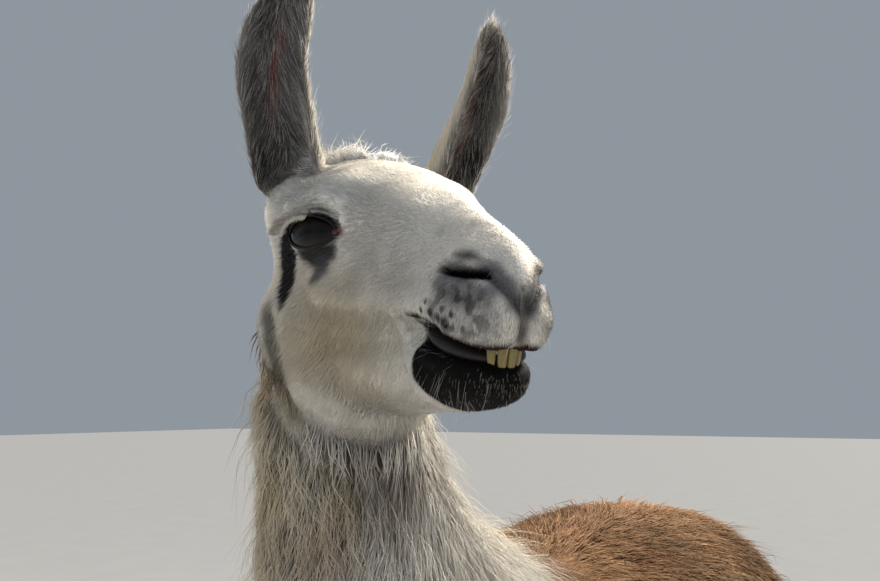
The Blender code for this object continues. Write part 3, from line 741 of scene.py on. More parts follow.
def earColours(colour, points, labels, local, fine, soft, cup):
    # pale rims and backs, dark hairy inside with a pink streak
    colour = paint(colour, shades["cream"] * 0.8, np.isin(labels, ears) * 0.55 * (1 - cup))
    for side, sign in signs.items():
        height = earHeight(points, side)
        across = local[:, 1] * sign
        mine = (across > 0) * cup
        edge = np.maximum(np.abs(across - np.interp(height, [0, 0.5, 1], [0.070, 0.092, 0.085])) - 0.020, 0)
        colour = paint(colour, shades["earDark"], mine * np.clip(0.92 + 0.20 * soft - 14 * edge, 0, 1))
        line = np.interp(height, [0.0, 0.3, 0.6, 0.9], [0.078, 0.090, 0.094, 0.088])
        line = line - (0.006 if side == "right" else 0) * height
        streak = np.exp(-((across - line) / 0.0042) ** 2)
        streak = streak * ease(0.30, 0.42, height) * ease(0.82, 0.66, height)
        colour = paint(colour, shades["pink"], 0.60 * mine * streak * (0.8 + 0.5 * fine))
    return colour


# colours of the skin and coat: markings, with painted shade and light in creases, under the jaw and on the
# neck
def markingsAndShade(points, labels, hollows):
    # hollows: 1 inside the ears, the nostrils and the mouth, a column each
    cup, slit, mouth = hollows.T
    local = toHead(points)
    soft, fine = cloud(points, 0.030, 3), cloud(points, 0.008, 5)
    onHead = np.isin(labels, ("head", "lower_jaw"))
    neck = labels == "neck"
    height = points[:, 2]
    colour = np.tile(shades["white"], (len(points), 1))
    colour = faceColours(colour, points, local, fine, soft, onHead)
    # the nostril grooves painted near black, as painted shade inside the openings
    colour = paint(colour, shades["lip"], slit)
    colour = paint(colour, shades["gum"], mouth)
    colour = patchColours(colour, points, labels, local, fine, soft, onHead)
    colour = earColours(colour, points, labels, local, fine, soft, cup)
    # throat crease darkened as painted shade, brown painted shade under the jaw, cream and tan down the neck,
    # whitest on its left
    throat, _ = pathGap(bothSides(local), metres(throatCrease))
    colour = paint(colour, shades["dark"], 0.80 * np.exp(-(throat / 0.0085) ** 2) * (0.85 + 0.4 * soft))
    under = near(bothSides(local), (0.015, 0.0, -0.175), (0.060, 0.055, 0.035))
    colour = paint(colour, shades["umber"], 0.62 * under * (1 + soft))
    # painted light and shade on the neck: whiter on the side the key light falls on, creamier and tanner on
    # the shaded side
    shadeSide = ease(0.02, -0.05, points[:, 0]) * ease(1.42, 1.30, height)
    sunSide = ease(0.010, 0.060, points[:, 0])
    creamy = np.clip(0.35 + 0.4 * soft + 0.3 * shadeSide - 0.5 * sunSide, 0, 1)
    colour = paint(colour, shades["cream"], neck * creamy)
    patchy = np.clip(0.9 * cloud(points, 0.06, 47) + 0.10, 0, 0.5)
    colour = paint(colour, shades["tan"], neck * patchy * (1 - 0.8 * sunSide))
    # brown wool from the foot of the neck back, darker down the legs
    seam = points[:, 1] + 0.8 * (1.16 - height) + 0.05 * cloud(points, 0.09, 8) + 0.02 * soft
    brownness = np.where(onHead | np.isin(labels, ears), 0, ease(-0.40, -0.30, seam))
    wool = paint(np.tile(shades["brown"], (len(points), 1)), shades["tan"], 0.35 + 0.6 * soft)
    wool = paint(wool, shades["umber"], np.clip(0.25 - 0.8 * cloud(points, 0.12, 11), 0, 0.7))
    wool = paint(wool, shades["belly"], ease(0.75, 0.62, height) * 0.6 * ease(0.30, 0.55, height))
    wool = paint(wool, shades["umber"], ease(0.48, 0.12, height) * (0.45 + 0.5 * cloud(points, 0.05, 13)))
    return colour + (wool - colour) * brownness[:, None]


earTurns = {"left": 26, "right": 22}    # how far each ear's opening looks aside, in degrees
earFront = {}
for side, sign in signs.items():
    turn = math.radians(earTurns[side])
    earFront[side] = np.array(noseAxis * math.cos(turn) + acrossAxis * (sign * math.sin(turn)))


def earCups(skin):
    # how far each point of the skin is inside an ear, 0 to 1, eased over the rims and the root
    mesh, edges, points, labels = readSkin(skin)
    cup = np.zeros(len(points))
    for side in signs:
        facing = normalsOf(mesh) @ earFront[side]
        mine = (labels == f"ear_{side}") * ease(0.985, 0.93, earHeight(points, side))
        cup = np.maximum(cup, mine * ease(0.15, 0.45, facing))
    return relaxed(cup, edges, 4, 0.5)


def mouthInside(skin):
    # 1 on the faces of the lips that look into the mouth
    mesh, edges, points, labels = readSkin(skin)
    x, y, z = toHead(points).T
    facing = (normalsOf(mesh) @ headAxes.T)[:, 2]
    within = ease(0.100, 0.106, x) * ease(0.016, 0.012, np.abs(z - lipLine(x)))
    roof = (labels == "head") * ease(-0.45, -0.75, facing)
    bed = (labels == "lower_jaw") * ease(0.80, 0.95, facing) * ease(0.024, 0.016, np.abs(y))
    return relaxed(within * np.maximum(roof, bed), edges, 2, 0.5)


def colourSkin(skin, hollows):
    mesh, edges, points, labels = readSkin(skin)
    woolly = relaxed(np.isin(labels, ("neck", "trunk", "tail")), edges, 4, 0.5)
    # the skin darkened as painted shade under the hair, most of all under the long wool
    colours = markingsAndShade(points, labels, hollows) * (0.84 - 0.34 * woolly)[:, None]
    layer = mesh.color_attributes.new("coat", "FLOAT_COLOR", "POINT")
    layer.data.foreach_set("color", np.hstack([colours, np.ones((len(colours), 1))]).ravel())


def toned(tree, shader, figure, low, high, darkest, brightest):
    # the shared markings and painted shade, multiplied by a pattern
    tone = addNode(tree, "ShaderNodeAttribute", {"attribute_name": "coat"})
    dim = addNode(tree, "ShaderNodeMapRange", {1: low, 2: high, 3: darkest, 4: brightest}, {0: figure})
    mixed = addNode(tree, "ShaderNodeMix", {"data_type": "RGBA", "blend_type": "MULTIPLY", 0: 1.0},
                    {6: tone.outputs["Color"], 7: dim.outputs[0]})
    tree.links.new(mixed.outputs[2], shader.inputs["Base Color"])


def skinMaterial():
    # llama skin under short hair: leathery and matt, its fine down drawn as bumps 1.4 mm wide
    material, tree, shader = newMaterial("haired_skin", Roughness=0.75, Specular_IOR_Level=0.10)
    place = addNode(tree, "ShaderNodeTexCoord")
    hair = addNode(tree, "ShaderNodeTexNoise", {"Scale": 700.0, "Detail": 3.0},
                   {"Vector": place.outputs["Object"]})
    toned(tree, shader, hair.outputs[0], 0.3, 0.7, 0.72, 1.0)
    bump = addNode(tree, "ShaderNodeBump", {"Strength": 0.5, "Distance": 0.0006}, {"Height": hair.outputs[0]})
    tree.links.new(bump.outputs[0], shader.inputs["Normal"])
    return material


def hairMaterial(name, gloss):
    # keratin hair: soft and a little glossy, coloured by the markings and painted shade; a dozen streaks
    # across a tuft stand for its single hairs, which are too fine to show
    material, tree, shader = newMaterial(
        name, Roughness=0.62, Specular_IOR_Level=gloss, Sheen_Weight=0.04, Sheen_Roughness=0.4)
    across = addNode(tree, "ShaderNodeUVMap", {"uv_map": "strand"})
    stretch = addNode(tree, "ShaderNodeMapping", {"Scale": (9.0, 0.6, 1.0)}, {"Vector": across.outputs[0]})
    strands = addNode(tree, "ShaderNodeTexNoise", {"Scale": 1.5, "Detail": 2.0},
                      {"Vector": stretch.outputs[0]})
    toned(tree, shader, strands.outputs[0], 0.35, 0.65, 0.80, 1.05)
    return material


# hair of each region: tufts per square centimetre, length and width in millimetres, lift from the skin in
# degrees, pull to the lock, waviness, rings, size of a lock in millimetres, disorder, droop and the share
# of hairs that stand free
coatColumns = ("count", "length", "width", "lift", "clump", "wave", "rings", "lock", "stray", "droop", "free")
coats = {
    "muzzle": (52, 4.5, 0.8, 20, 0.10, 0.00, 1, 4, 0.22, 0.00, 0.012),
    "face": (56, 10.2, 0.9, 11, 0.35, 0.00, 1, 4, 0.22, 0.00, 0.0),
    "crown": (95, 29.0, 0.8, 42, 0.50, 0.10, 2, 8, 0.50, 0.20, 0.05),
    "nape": (40, 28.0, 1.0, 20, 0.50, 0.06, 2, 8, 0.20, 0.00, 0.0),
    "ear": (44, 9.5, 0.8, 10, 0.20, 0.00, 1, 4, 0.20, 0.00, 0.0),
    "earInside": (30, 15.0, 0.8, 20, 0.40, 0.00, 1, 4, 0.20, 0.00, 0.06),
    "neck": (17, 50.0, 1.2, 26, 0.95, 0.15, 2, 13, 0.40, 0.25, 0.045),
    "trunk": (4.2, 52.0, 2.4, 32, 0.80, 0.20, 2, 22, 0.55, 0.15, 0.03),
    "leg": (9, 12.0, 1.8, 11, 0.40, 0.00, 1, 4, 0.20, 0.00, 0.0),
    "foot": (30, 10.5, 1.1, 9, 0.20, 0.00, 1, 4, 0.20, 0.00, 0.0),
    "tail": (4.5, 70.0, 3.2, 20, 0.70, 0.10, 3, 18, 0.55, 0.30, 0.0),
}
coats = {name: dict(zip(coatColumns, row)) for name, row in coats.items()}
for row in coats.values():
    for column in ("length", "width", "lock"):
        row[column] *= mm
shortHaired = ("face", "muzzle", "ear", "earInside", "leg", "foot")
# hairs that stand free of the coat: how much longer and thinner, and how far they rise in degrees
freeHair = {"muzzle": 4.5, "neck": 1.7, "other": 1.45, "thin": 0.6, "whiskerLift": 45, "lift": 24}
# tufts are more and finer where the coat is seen from close by; distances in metres
density = {"least": 0.32, "more": 1.1, "near": 0.9, "far": 1.9}


def regionOf(points, normals, labels):
    x, y, z = toHead(points).T
    onHead = np.isin(labels, ("head", "lower_jaw"))
    region = np.full(len(points), "trunk", dtype="U12")
    for name in ("neck", "tail"):
        region[labels == name] = name
    for name in ("leg", "foot"):
        region[np.char.find(labels, f"_{name}_") > 0] = name
    region[onHead] = "face"
    region[onHead & (x > 0.108)] = "muzzle"
    region[onHead & (x < -0.105)] = "nape"
    region[onHead & (x < -0.066) & (z > 0.052) & (np.abs(y) < 0.045)] = "crown"
    for side in signs:
        mine = labels == f"ear_{side}"
        region[mine] = "ear"
        region[mine & (normals @ earFront[side] > 0.25)] = "earInside"
    return region


def lieOf(points, region):
    # the way the hair lies, before it is laid on the surface
    _, y, z = toHead(points).T
    sign, none = np.sign(y), 0 * y
    low = ease(0.02, -0.08, z)
    face = np.stack([-1 + 0.45 * low, 0.25 * sign, 0.15 - 1.05 * low], axis=1)
    down = -0.2 - 0.8 * ease(-0.02, -0.07, z)
    muzzle = np.stack([-0.7 + 0.6 * ease(-0.03, -0.07, z), 0.1 * sign, down], axis=1)
    crown = np.stack([none - 0.5, 0.5 * sign, none + 0.9], axis=1)
    way = np.tile([0, 0, -1.0], (len(points), 1))       # neck, tail, legs and feet
    for name, headWay in (("face", face), ("muzzle", muzzle), ("crown", crown), ("nape", face)):
        chosen = region == name
        way[chosen] = headWay[chosen] @ headAxes
    chosen = region == "nape"
    way[chosen] = way[chosen] * 0.5 + np.array([0, 0, -1.0])
    way[np.isin(region, ("ear", "earInside"))] = (0, 0, 1)
    chosen = region == "trunk"
    side = np.sign(points[:, 0]) * ease(0.0, 0.08, np.abs(points[:, 0]))
    down = -0.75 * ease(1.21, 1.0, points[:, 2]) - 0.1
    way[chosen] = np.stack([0.9 * side, none + 0.55, down], axis=1)[chosen]
    return way


def closeness(points, normals):
    # 1 where a visitor at the head's right side sees the coat from arm's length
    gap = np.array(camera.location) - points
    far = np.linalg.norm(gap, axis=1)
    return ease(-0.25, 0.1, dot(normals, gap / far[:, None])) * ease(density["far"], density["near"], far)


def bareSkin(local, points):
    # 1 where no hair grows: eyes, mouth and soles
    bare = points[:, 2] < 0.006
    for side in signs:
        along, high, out = eyeSpace(points, side)
        reach, _ = lidReach(along, high)
        bare |= (reach < 1.10) & (out > -0.010) & (np.hypot(along, high) < 0.03)
    x, y, z = local.T
    return bare | ((x > 0.108) & (np.abs(z - lipLine(x) - 0.001) < 0.006) & (np.abs(y) < 0.024))


def scatter(skin, hollows):
    # roots over the skin, evenly by area and by each region's count
    mesh = skin.data
    mesh.calc_loop_triangles()
    corners = rowsOf(mesh.loop_triangles, "vertices", 3, np.int64)
    points = pointsOf(mesh)
    a, b, c = (points[corners[:, i]] for i in range(3))
    cross = np.cross(b - a, c - a)
    area = np.linalg.norm(cross, axis=1) / 2
    normals = unit(cross)
    centres = (a + b + c) / 3
    labels = labelled(centres)
    region = regionOf(centres, normals, labels)
    bare = bareSkin(toHead(centres), centres) | (hollows[corners, 1:].mean(1).max(1) > 0.3)
    close = closeness(centres, normals)
    counts = np.array([coats[name]["count"] for name in region]) * 1e4
    counts = counts * (density["least"] + density["more"] * close)
    total = np.cumsum(area * counts * (1 - bare))
    number = int(total[-1])
    marks = (np.arange(number) + dice.random(number)) * total[-1] / number
    chosen = np.minimum(np.searchsorted(total, marks), len(total) - 1)
    u, v = dice.random((2, number))
    over = u + v > 1
    u[over], v[over] = 1 - u[over], 1 - v[over]
    shares = np.stack([1 - u - v, u, v], axis=1)[:, :, None]
    roots, smooth, inside = (
        (values[corners[chosen]] * shares).sum(1) for values in (points, normalsOf(mesh), hollows))
    return roots, unit(smooth), labels[chosen], region[chosen], close[chosen], inside


def tipShift(skin, tip, short, rise, width, length):
    # tips of short hair keep to the skin's hollows and swells, and no tip sinks into the skin
    surface = surfaceOf(pointsOf(skin.data), skin.data)
    found = [surface.find_nearest(place)[:2] for place in tip.tolist()]
    spots, ways = (np.array([pair[i] for pair in found]) for i in (0, 1))
    height = dot(tip - spots, ways)
    wanted = np.where(short, np.maximum(rise * 0.75, width * 0.8), np.maximum(height, length * 0.10))
    raised = ways * (wanted - height)[:, None]
    # no tip far outside the solids' box or under the floor
    lowest, highest = np.array(cadBox[0]) - 0.010, np.array(cadBox[1]) + 0.010
    lowest[2] = 0.001
    return np.clip(tip + raised, lowest, highest) - tip


def hairColours(colour, region, x, z, free, lockNoise):
    # every lock and every hair has its own tone
    count = len(colour)
    jitter = 1 + 0.10 * lockNoise[:, :1] + dice.normal(0, 0.07, (count, 1))
    # the crown's hair lighter than white, as painted light for the light shining through it from behind
    colour = paint(colour, np.array([0.93, 0.92, 0.90]), (region == "crown") * 0.9)
    # pale bristles over the dark skin of the lips and chin
    share = np.where(z < -0.085, 0.05 + 0.40 * ease(0.162, 0.178, x), 0.40)
    bristly = (dice.random(count) < share) * ease(-0.050, -0.062, z) * ease(0.118, 0.150, x)
    colour = paint(colour, shades["grey"] * 1.2, 0.8 * bristly * (region == "muzzle"))
    # pale single hairs at the lips, in the ears and on the crown
    pale = free | ((region == "earInside") & (dice.random(count) < 0.22))
    pale = pale & np.isin(region, ("muzzle", "earInside", "crown"))
    return np.clip(paint(colour, shades["white"] * 0.9, 0.75 * pale) * jitter, 0.004, 0.92)


def growCoat(skin, hollows):
    roots, normals, labels, region, close, inside = scatter(skin, hollows)
    x, _, z = toHead(roots).T
    count = len(roots)
    hair = {key: np.array([coats[name][key] for name in region], float) for key in coatColumns}
    length, width, lift = hair["length"], hair["width"], hair["lift"]
    onFace = np.isin(region, ("face", "muzzle"))
    onMuzzle = region == "muzzle"
    onNeck = region == "neck"
    short = np.isin(region, shortHaired)
    # locks: the hairs of one cell lean to its middle
    lockSize = hair["lock"][:, None]
    cell = roots + 0.6 * lockSize * np.stack([cloud(roots, 0.02, seed) for seed in (21, 22, 23)], axis=1)
    lock = (np.floor(cell / lockSize) + 0.5) * lockSize
    pull = lock - roots
    pull -= normals * dot(pull, normals)[:, None]
    lockNoise = np.stack([cloud(lock, 0.013, seed) for seed in (31, 32, 33)], axis=1)
    lie = unit(lieOf(roots, region)) + lockNoise * hair["stray"][:, None] + dice.normal(0, 0.10, (count, 3))
    lie = unit(lie - normals * dot(lie, normals)[:, None])
    # hair shortens evenly from the cheeks to the lips and down the legs
    forward = ease(0.045, 0.130, x)
    cheek = 0.7 * ease(-0.02, -0.10, z) * ease(0.10, 0.0, x) + 0.5 * ease(-0.02, -0.09, x)
    between = {key: coats["face"][key] + (coats["muzzle"][key] - coats["face"][key]) * forward
               for key in ("length", "width", "lift")}
    length = np.where(onFace, between["length"] * (1 + (region == "face") * cheek), length)
    width = np.where(onFace, between["width"], width)
    lift = np.where(onFace, between["lift"], lift)
    length = length + (region == "leg") * 0.034 * ease(0.36, 0.66, roots[:, 2])
    length = length * np.where(onNeck, 0.72 + 0.42 * ease(1.45, 1.15, roots[:, 2]), 1)
    length = length * dice.uniform(0.75, 1.2, count)
    width = width * dice.uniform(0.8, 1.25, count) * np.where(short, 1.35 - 0.55 * close, 1.60 - 0.80 * close)
    lift = np.radians(lift * dice.uniform(0.4, 1.5, count))
    # a few hairs stand free of the coat; those of the lips and chin are whiskers
    chance = hair["free"] * np.where(onMuzzle, ease(-0.055, -0.075, z), 1)
    chance = chance + onNeck * 0.06 * ease(0.0, 0.06, roots[:, 0])
    free = dice.random(count) < chance
    longer = np.select([onMuzzle, onNeck], [freeHair["muzzle"], freeHair["neck"]], freeHair["other"])
    length = np.where(free, length * longer, length)
    width = np.where(free, width * freeHair["thin"], width)
    stand = np.radians(np.where(onMuzzle, freeHair["whiskerLift"], freeHair["lift"]))
    stand = stand * dice.uniform(0.3, 1.0, count)
    lift = np.where(free, lift + stand, lift)
    # a hair takes the colour of the place that it covers
    colour = markingsAndShade(roots + lie * (length * 0.5 * onFace)[:, None], labels, inside)
    colour = hairColours(colour, region, x, z, free, lockNoise)
    side = unit(np.cross(lie, normals))
    start = lie * np.cos(lift)[:, None] + normals * np.sin(lift)[:, None]
    end = lie * np.cos(lift * 0.2)[:, None] + normals * np.sin(lift * 0.1)[:, None]
    end = unit(end - np.array([0, 0, 1.0]) * hair["droop"][:, None])
    phase = dice.random(count) * 0.6 + lockNoise[:, 0] * 2
    tip = roots + (start + end) * (length / 2)[:, None]
    raised = tipShift(skin, tip, short, length * np.sin(lift), width, length)
    uv = unwrapped(roots, region, labels)
    pieceName = pieceOf(roots, region, labels)
    longWool, shortHair = hairMaterial("long_wool", 0.108), hairMaterial("short_hair", 0.09)
    shift = pull * hair["clump"][:, None] + raised
    total = 0
    for name in sorted(set(pieceName)):
        mine = np.flatnonzero(pieceName == name)
        rings = int(hair["rings"][mine].max())
        mesh, triangles = tuftMesh(name, rings, spread(uv[mine]), *(values[mine] for values in (
            roots, normals, side, start, end, length, width, shift, hair["wave"], phase, colour)))
        dressed(newPiece(name, mesh), longWool if rings > 2 else shortHair)
        total += triangles
        print(name, len(mine), "tufts", triangles, "triangles")
    print("coat", count, "tufts", total, "triangles")


neckLevels = {"_top": 1.30, "_upper": 1.19, "_middle": 1.11}    # lower end of each neck piece


def pieceOf(roots, region, labels):
    x, y, z = roots.T
    local = toHead(roots)
    hand = np.where(local[:, 1] > 0, "_left", "_right")
    quarter = np.where(x > 0, "_left", "_right")
    name = np.char.add("coat_", region).astype("U30")
    chosen = np.isin(region, ("ear", "earInside"))
    name[chosen] = np.char.add("coat_", labels[chosen])
    chosen = region == "face"
    name[chosen] = np.char.add("coat_face", hand[chosen])
    name[chosen & (local[:, 2] > 0.0)] = "coat_forehead"
    name[region == "nape"] = "coat_crown"
    chosen = region == "neck"
    level = np.select([z > low for low in neckLevels.values()], list(neckLevels), "_lower")
    name[chosen] = np.char.add("coat_neck", np.char.add(level, quarter))[chosen]
    chosen = region == "trunk"
    part = np.where(z > 1.08, "_back", np.where(y < 0.05, "_shoulder", "_flank"))
    part[chosen & (z < 0.72)] = "_belly"
    name[chosen] = np.char.add("coat", part)[chosen]
    sided = chosen & ~np.isin(part, ("_back", "_belly"))
    name[sided] = np.char.add(name, quarter)[sided]
    chosen = np.isin(region, ("leg", "foot"))
    name[chosen] = np.char.add("coat_", np.char.replace(labels[chosen], "foot", "leg"))
    return name


neckSpine = ([0.93, 1.04, 1.14, 1.22, 1.30, 1.38, 1.50],
             [-0.12, -0.24, -0.36, -0.457, -0.515, -0.541, -0.545])    # height, and the neck's middle there


def unwrapped(points, region, labels):
    # each region rolled open round its own middle line
    local = toHead(points)
    x, y, z = points.T
    uv = np.stack([np.arctan2(local[:, 1], local[:, 2] + 0.05), local[:, 0] * 8], axis=1)
    for side in signs:
        mine = labels == f"ear_{side}"
        gap = local - toHead(np.array(middle(f"ear_{side}"))[None, :])
        uv[mine] = np.stack([np.arctan2(gap[:, 1], gap[:, 0]), z * 8], axis=1)[mine]
    spine = np.interp(z, *neckSpine)
    uv = np.where((region == "neck")[:, None], np.stack([np.arctan2(x, y - spine), z * 5], axis=1), uv)
    uv = np.where((region == "trunk")[:, None], np.stack([np.arctan2(x, z - 0.91), y * 4], axis=1), uv)
    for name in ["tail"] + limbs:
        mine = (labels == name) & np.isin(region, ("tail", "leg", "foot"))
        spot = middle(name)
        uv[mine] = np.stack([np.arctan2(x - spot.x, y - spot.y), z * 5], axis=1)[mine]
    return uv


def spread(uv):
    low, high = uv.min(0), uv.max(0)
    return 0.01 + 0.98 * (uv - low) / np.maximum(high - low, 1e-6)


# share of the width along a tuft, the tones of root and tip (painted shade at the root), and the size of its
# patch on the second map
tuft = {"widths": ([0, 0.3, 0.7, 1], [0.75, 1.0, 0.72, 0]), "deepRootShade": 0.76, "lightRootShade": 0.90, "tip": 1.04,
        "patch": 0.003}


def tuftMesh(name, rings, uv, roots, normals, side, start, end, length, width, pull, wave, phase, colour):
    # every tuft is a thin three-sided blade with a closed root and a pointed tip
    count = len(roots)
    # the root darkened as painted shade inside the coat, less on the crown, the tip a little lighter
    rootShade = tuft["deepRootShade"] if rings > 1 and "crown" not in name else tuft["lightRootShade"]
    stops = np.linspace(0, 1, rings + 1)
    taper = np.interp(stops, *tuft["widths"])
    first = roots - normals * (width * 0.5)[:, None]
    second = first + start * (length * 0.5)[:, None]
    third = second + end * (length * 0.5)[:, None]
    swing = (wave * length)[:, None]
    phase = phase[:, None]
    places, shares, tones = [], [], []
    for k, s in enumerate(stops):
        spot = first * (1 - s) ** 2 + second * (2 * s * (1 - s)) + third * s * s + pull * s ** 1.5
        sway = np.sin(2 * math.pi * (1.4 * s + phase)) * swing * s
        lean = np.cos(2 * math.pi * (1.1 * s + phase)) * swing * s * 0.6
        spot = spot + side * sway + normals * lean
        tone = colour * (rootShade + (tuft["tip"] - rootShade) * s)
        if k == rings:
            ring, share = [spot], [[0.5, 1.0]]
        else:
            high = unit(np.cross(side, unit(start * (1 - s) + end * s)))
            half = (width * taper[k] * 0.5)[:, None]
            ring = [spot - side * half, spot + high * half * 0.7, spot + side * half]
            share = [[0.0, s], [0.5, s], [1.0, s]]
        places.append(np.stack(ring, axis=1))
        shares.append(np.tile([share], (count, 1, 1)))
        tones.append(np.repeat(tone[:, None, :], len(ring), axis=1))
    places, shares, tones = (np.concatenate(part, axis=1) for part in (places, shares, tones))
    each = 3 * rings + 1
    faces = [(0, 2, 1)]
    for k in range(rings - 1):
        for i in range(3):
            j = (i + 1) % 3
            a, b, c, d = 3 * k + i, 3 * k + j, 3 * k + 3 + j, 3 * k + 3 + i
            faces += [(a, b, c), (a, c, d)]
    last = 3 * (rings - 1)
    faces += [(last + i, last + (i + 1) % 3, each - 1) for i in range(3)]
    corner = (np.arange(count)[:, None, None] * each + np.array(faces)[None]).reshape(-1)
    mesh = bpy.data.meshes.new(name)
    mesh.vertices.add(count * each)
    mesh.vertices.foreach_set("co", places.astype(np.float32).ravel())
    mesh.loops.add(len(corner))
    mesh.loops.foreach_set("vertex_index", corner.astype(np.int32))
    mesh.polygons.add(len(corner) // 3)
    mesh.polygons.foreach_set("loop_start", np.arange(0, len(corner), 3, dtype=np.int32))
    patch = uv[:, None, :] + (shares - 0.5) * tuft["patch"]
    for layerName, values in (("strand", shares), ("OFBake", patch)):
        layer = mesh.uv_layers.new(name=layerName)
        layer.data.foreach_set("uv", values.reshape(-1, 2)[corner].astype(np.float32).ravel())
    layer = mesh.color_attributes.new("coat", "FLOAT_COLOR", "POINT")
    tones = np.concatenate([tones, np.ones((*tones.shape[:2], 1))], axis=2)
    layer.data.foreach_set("color", tones.astype(np.float32).ravel())
    mesh.update(calc_edges=True)
    return mesh, len(corner) // 3


def makeLashes(name, roots, starts, ends, lengths, widths, tones, material):
    # single hairs from given roots; starts and ends are directions
    count = len(roots)
    starts, ends = unit(starts), unit(ends)
    side = unit(np.cross(starts, ends + np.array([0.01, 0.02, 0.03])))
    normals = unit(np.cross(side, starts))
    phase = dice.random(count)
    uv = dice.uniform(0.02, 0.98, (count, 2))
    mesh, _ = tuftMesh(name, 3, uv, roots, normals, side, starts, ends, lengths, widths,
                       np.zeros((count, 3)), np.full(count, 0.02), phase, tones)
    dressed(newPiece(name, mesh), material)


def makeRim(name, path, radii, material):
    # a closed rod through the given places, as thick as each place's radius
    curve = bpy.data.curves.new(name, "CURVE")
    curve.dimensions = "3D"
    line = curve.splines.new("POLY")
    line.points.add(len(path) - 1)
    for point, place, radius in zip(line.points, path, radii):
        point.co = (*place, 1)
        point.radius = radius
    line.use_cyclic_u = True
    curve.bevel_depth = 1.0
    curve.bevel_resolution = 2
    holder = newPiece(name + "_path", curve)
    graph = bpy.context.evaluated_depsgraph_get()
    mesh = bpy.data.meshes.new_from_object(holder.evaluated_get(graph))
    bpy.data.objects.remove(holder)
    mesh.name = name
    dressed(newPiece(name, mesh), material)


def lidLine(side, turns, grow, rise):
    # places round the opening of the lids, made larger by grow and lifted off the ball by rise
    c, s = np.cos(turns), np.sin(turns)
    flat = lids["long"] * np.sign(c) * np.abs(c) ** (2 / lids["shape"]) * grow
    above = np.where(s > 0, lids["upper"], lids["lower"]) * s * grow
    c, s = math.cos(lids["tilt"]), math.sin(lids["tilt"])
    along, high = flat * c - above * s, flat * s + above * c
    return eyeCentre[side] + np.stack([along, high, lidDepth(along, high) + rise], axis=1) @ eyeAxes[side]


def eyeMaterial():
    # a living eye: dark brown iris with fibres 1.6 mm wide, long level pupil, wet clear cornea over it
    material, tree, shader = newMaterial(
        "wet_cornea", Roughness=0.25, Specular_IOR_Level=0.1, IOR=1.38,
        Coat_Weight=0.55, Coat_Roughness=0.03, Coat_IOR=1.38)
    place = addNode(tree, "ShaderNodeUVMap", {"uv_map": "eyeMap"})
    centred = addNode(tree, "ShaderNodeMapping", {"vector_type": "POINT", "Location": (-0.5, -0.5, 0)},
                      {"Vector": place.outputs[0]})
    reach = addNode(tree, "ShaderNodeVectorMath", {"operation": "LENGTH"}, {0: centred.outputs[0]})
    fibres = addNode(tree, "ShaderNodeTexNoise", {"Scale": 26.0, "Detail": 4.0, "Roughness": 0.6},
                     {"Vector": centred.outputs[0]})
    wobble = addNode(tree, "ShaderNodeMath", {"operation": "MULTIPLY_ADD", 1: 0.05},
                     {0: fibres.outputs[0], 2: reach.outputs["Value"]})
    ramp = addNode(tree, "ShaderNodeValToRGB", links={0: wobble.outputs[0]})
    stops = [(0.0, "#050404"), (0.16, "#080605"), (0.22, "#140d08"), (0.34, "#110b07"), (0.40, "#060505"),
             (0.48, "#0a0808"), (0.60, "#171110")]
    for spot, _ in stops[2:]:
        ramp.color_ramp.elements.new(spot)
    for element, (spot, code) in zip(sorted(ramp.color_ramp.elements, key=lambda e: e.position), stops):
        element.position = spot
        element.color = (*linear(code), 1)
    slit = addNode(tree, "ShaderNodeMapping", {"Scale": (0.62, 1.3, 1)}, {"Vector": centred.outputs[0]})
    pupil = addNode(tree, "ShaderNodeVectorMath", {"operation": "LENGTH"}, {0: slit.outputs[0]})
    inPupil = addNode(tree, "ShaderNodeMapRange", {1: 0.10, 2: 0.12, 3: 0.0, 4: 1.0},
                      {0: pupil.outputs["Value"]})
    mixed = addNode(tree, "ShaderNodeMix", {"data_type": "RGBA", 6: (*linear("#030303"), 1)},
                    {0: inPupil.outputs[0], 7: ramp.outputs[0]})
    tree.links.new(mixed.outputs[2], shader.inputs["Base Color"])
    return material


def wetSkin(name, code, rough):
    # bare wet skin under a film of moisture, its grain drawn 2.4 mm wide so that it shows
    return grained(name, "Noise", {"Scale": 420.0, "Detail": 3.0}, (linear(code) * 0.6, linear(code)), 0.4,
                   Roughness=rough, Coat_Weight=0.15, Coat_Roughness=0.25)


def makeEyeball(side, material):
    ball = bmesh.new()
    bmesh.ops.create_uvsphere(ball, u_segments=64, v_segments=40, radius=1)
    bmesh.ops.scale(ball, verts=ball.verts, vec=[eye[key] - eye["gap"] for key in ("long", "high", "deep")])
    for vert in ball.verts:                     # the cornea stands a little proud
        if vert.co.z > 0:
            vert.co.z += eye["corneaRise"] * math.exp(-(vert.co.xy.length / eye["corneaReach"]) ** 2)
    layer = ball.loops.layers.uv.new("eyeMap")
    for face in ball.faces:
        for loop in face.loops:
            flat = loop.vert.co.xy / (2 * eye["high"])
            loop[layer].uv = (0.5 + flat.x, 0.5 + flat.y)
    if eyeMatrix[side].determinant() < 0:
        bmesh.ops.reverse_faces(ball, faces=ball.faces)
    bmesh.ops.transform(ball, matrix=eyeMatrix[side], verts=ball.verts)
    name = f"eyeball_{side}"
    dressed(newPiece(name, meshFrom(name, ball)), material, [f"eye_{side}"])


# pink corner: half sizes, place as a share of the opening, and how deep it lies; the wet rim of the lids
tearCorner = {"size": (0.0034, 0.0024, 0.0016), "place": 0.95, "sink": 0.0004}
lidRim = {"thin": 0.0008, "swell": 0.0004, "rise": 0.0006, "points": 96}


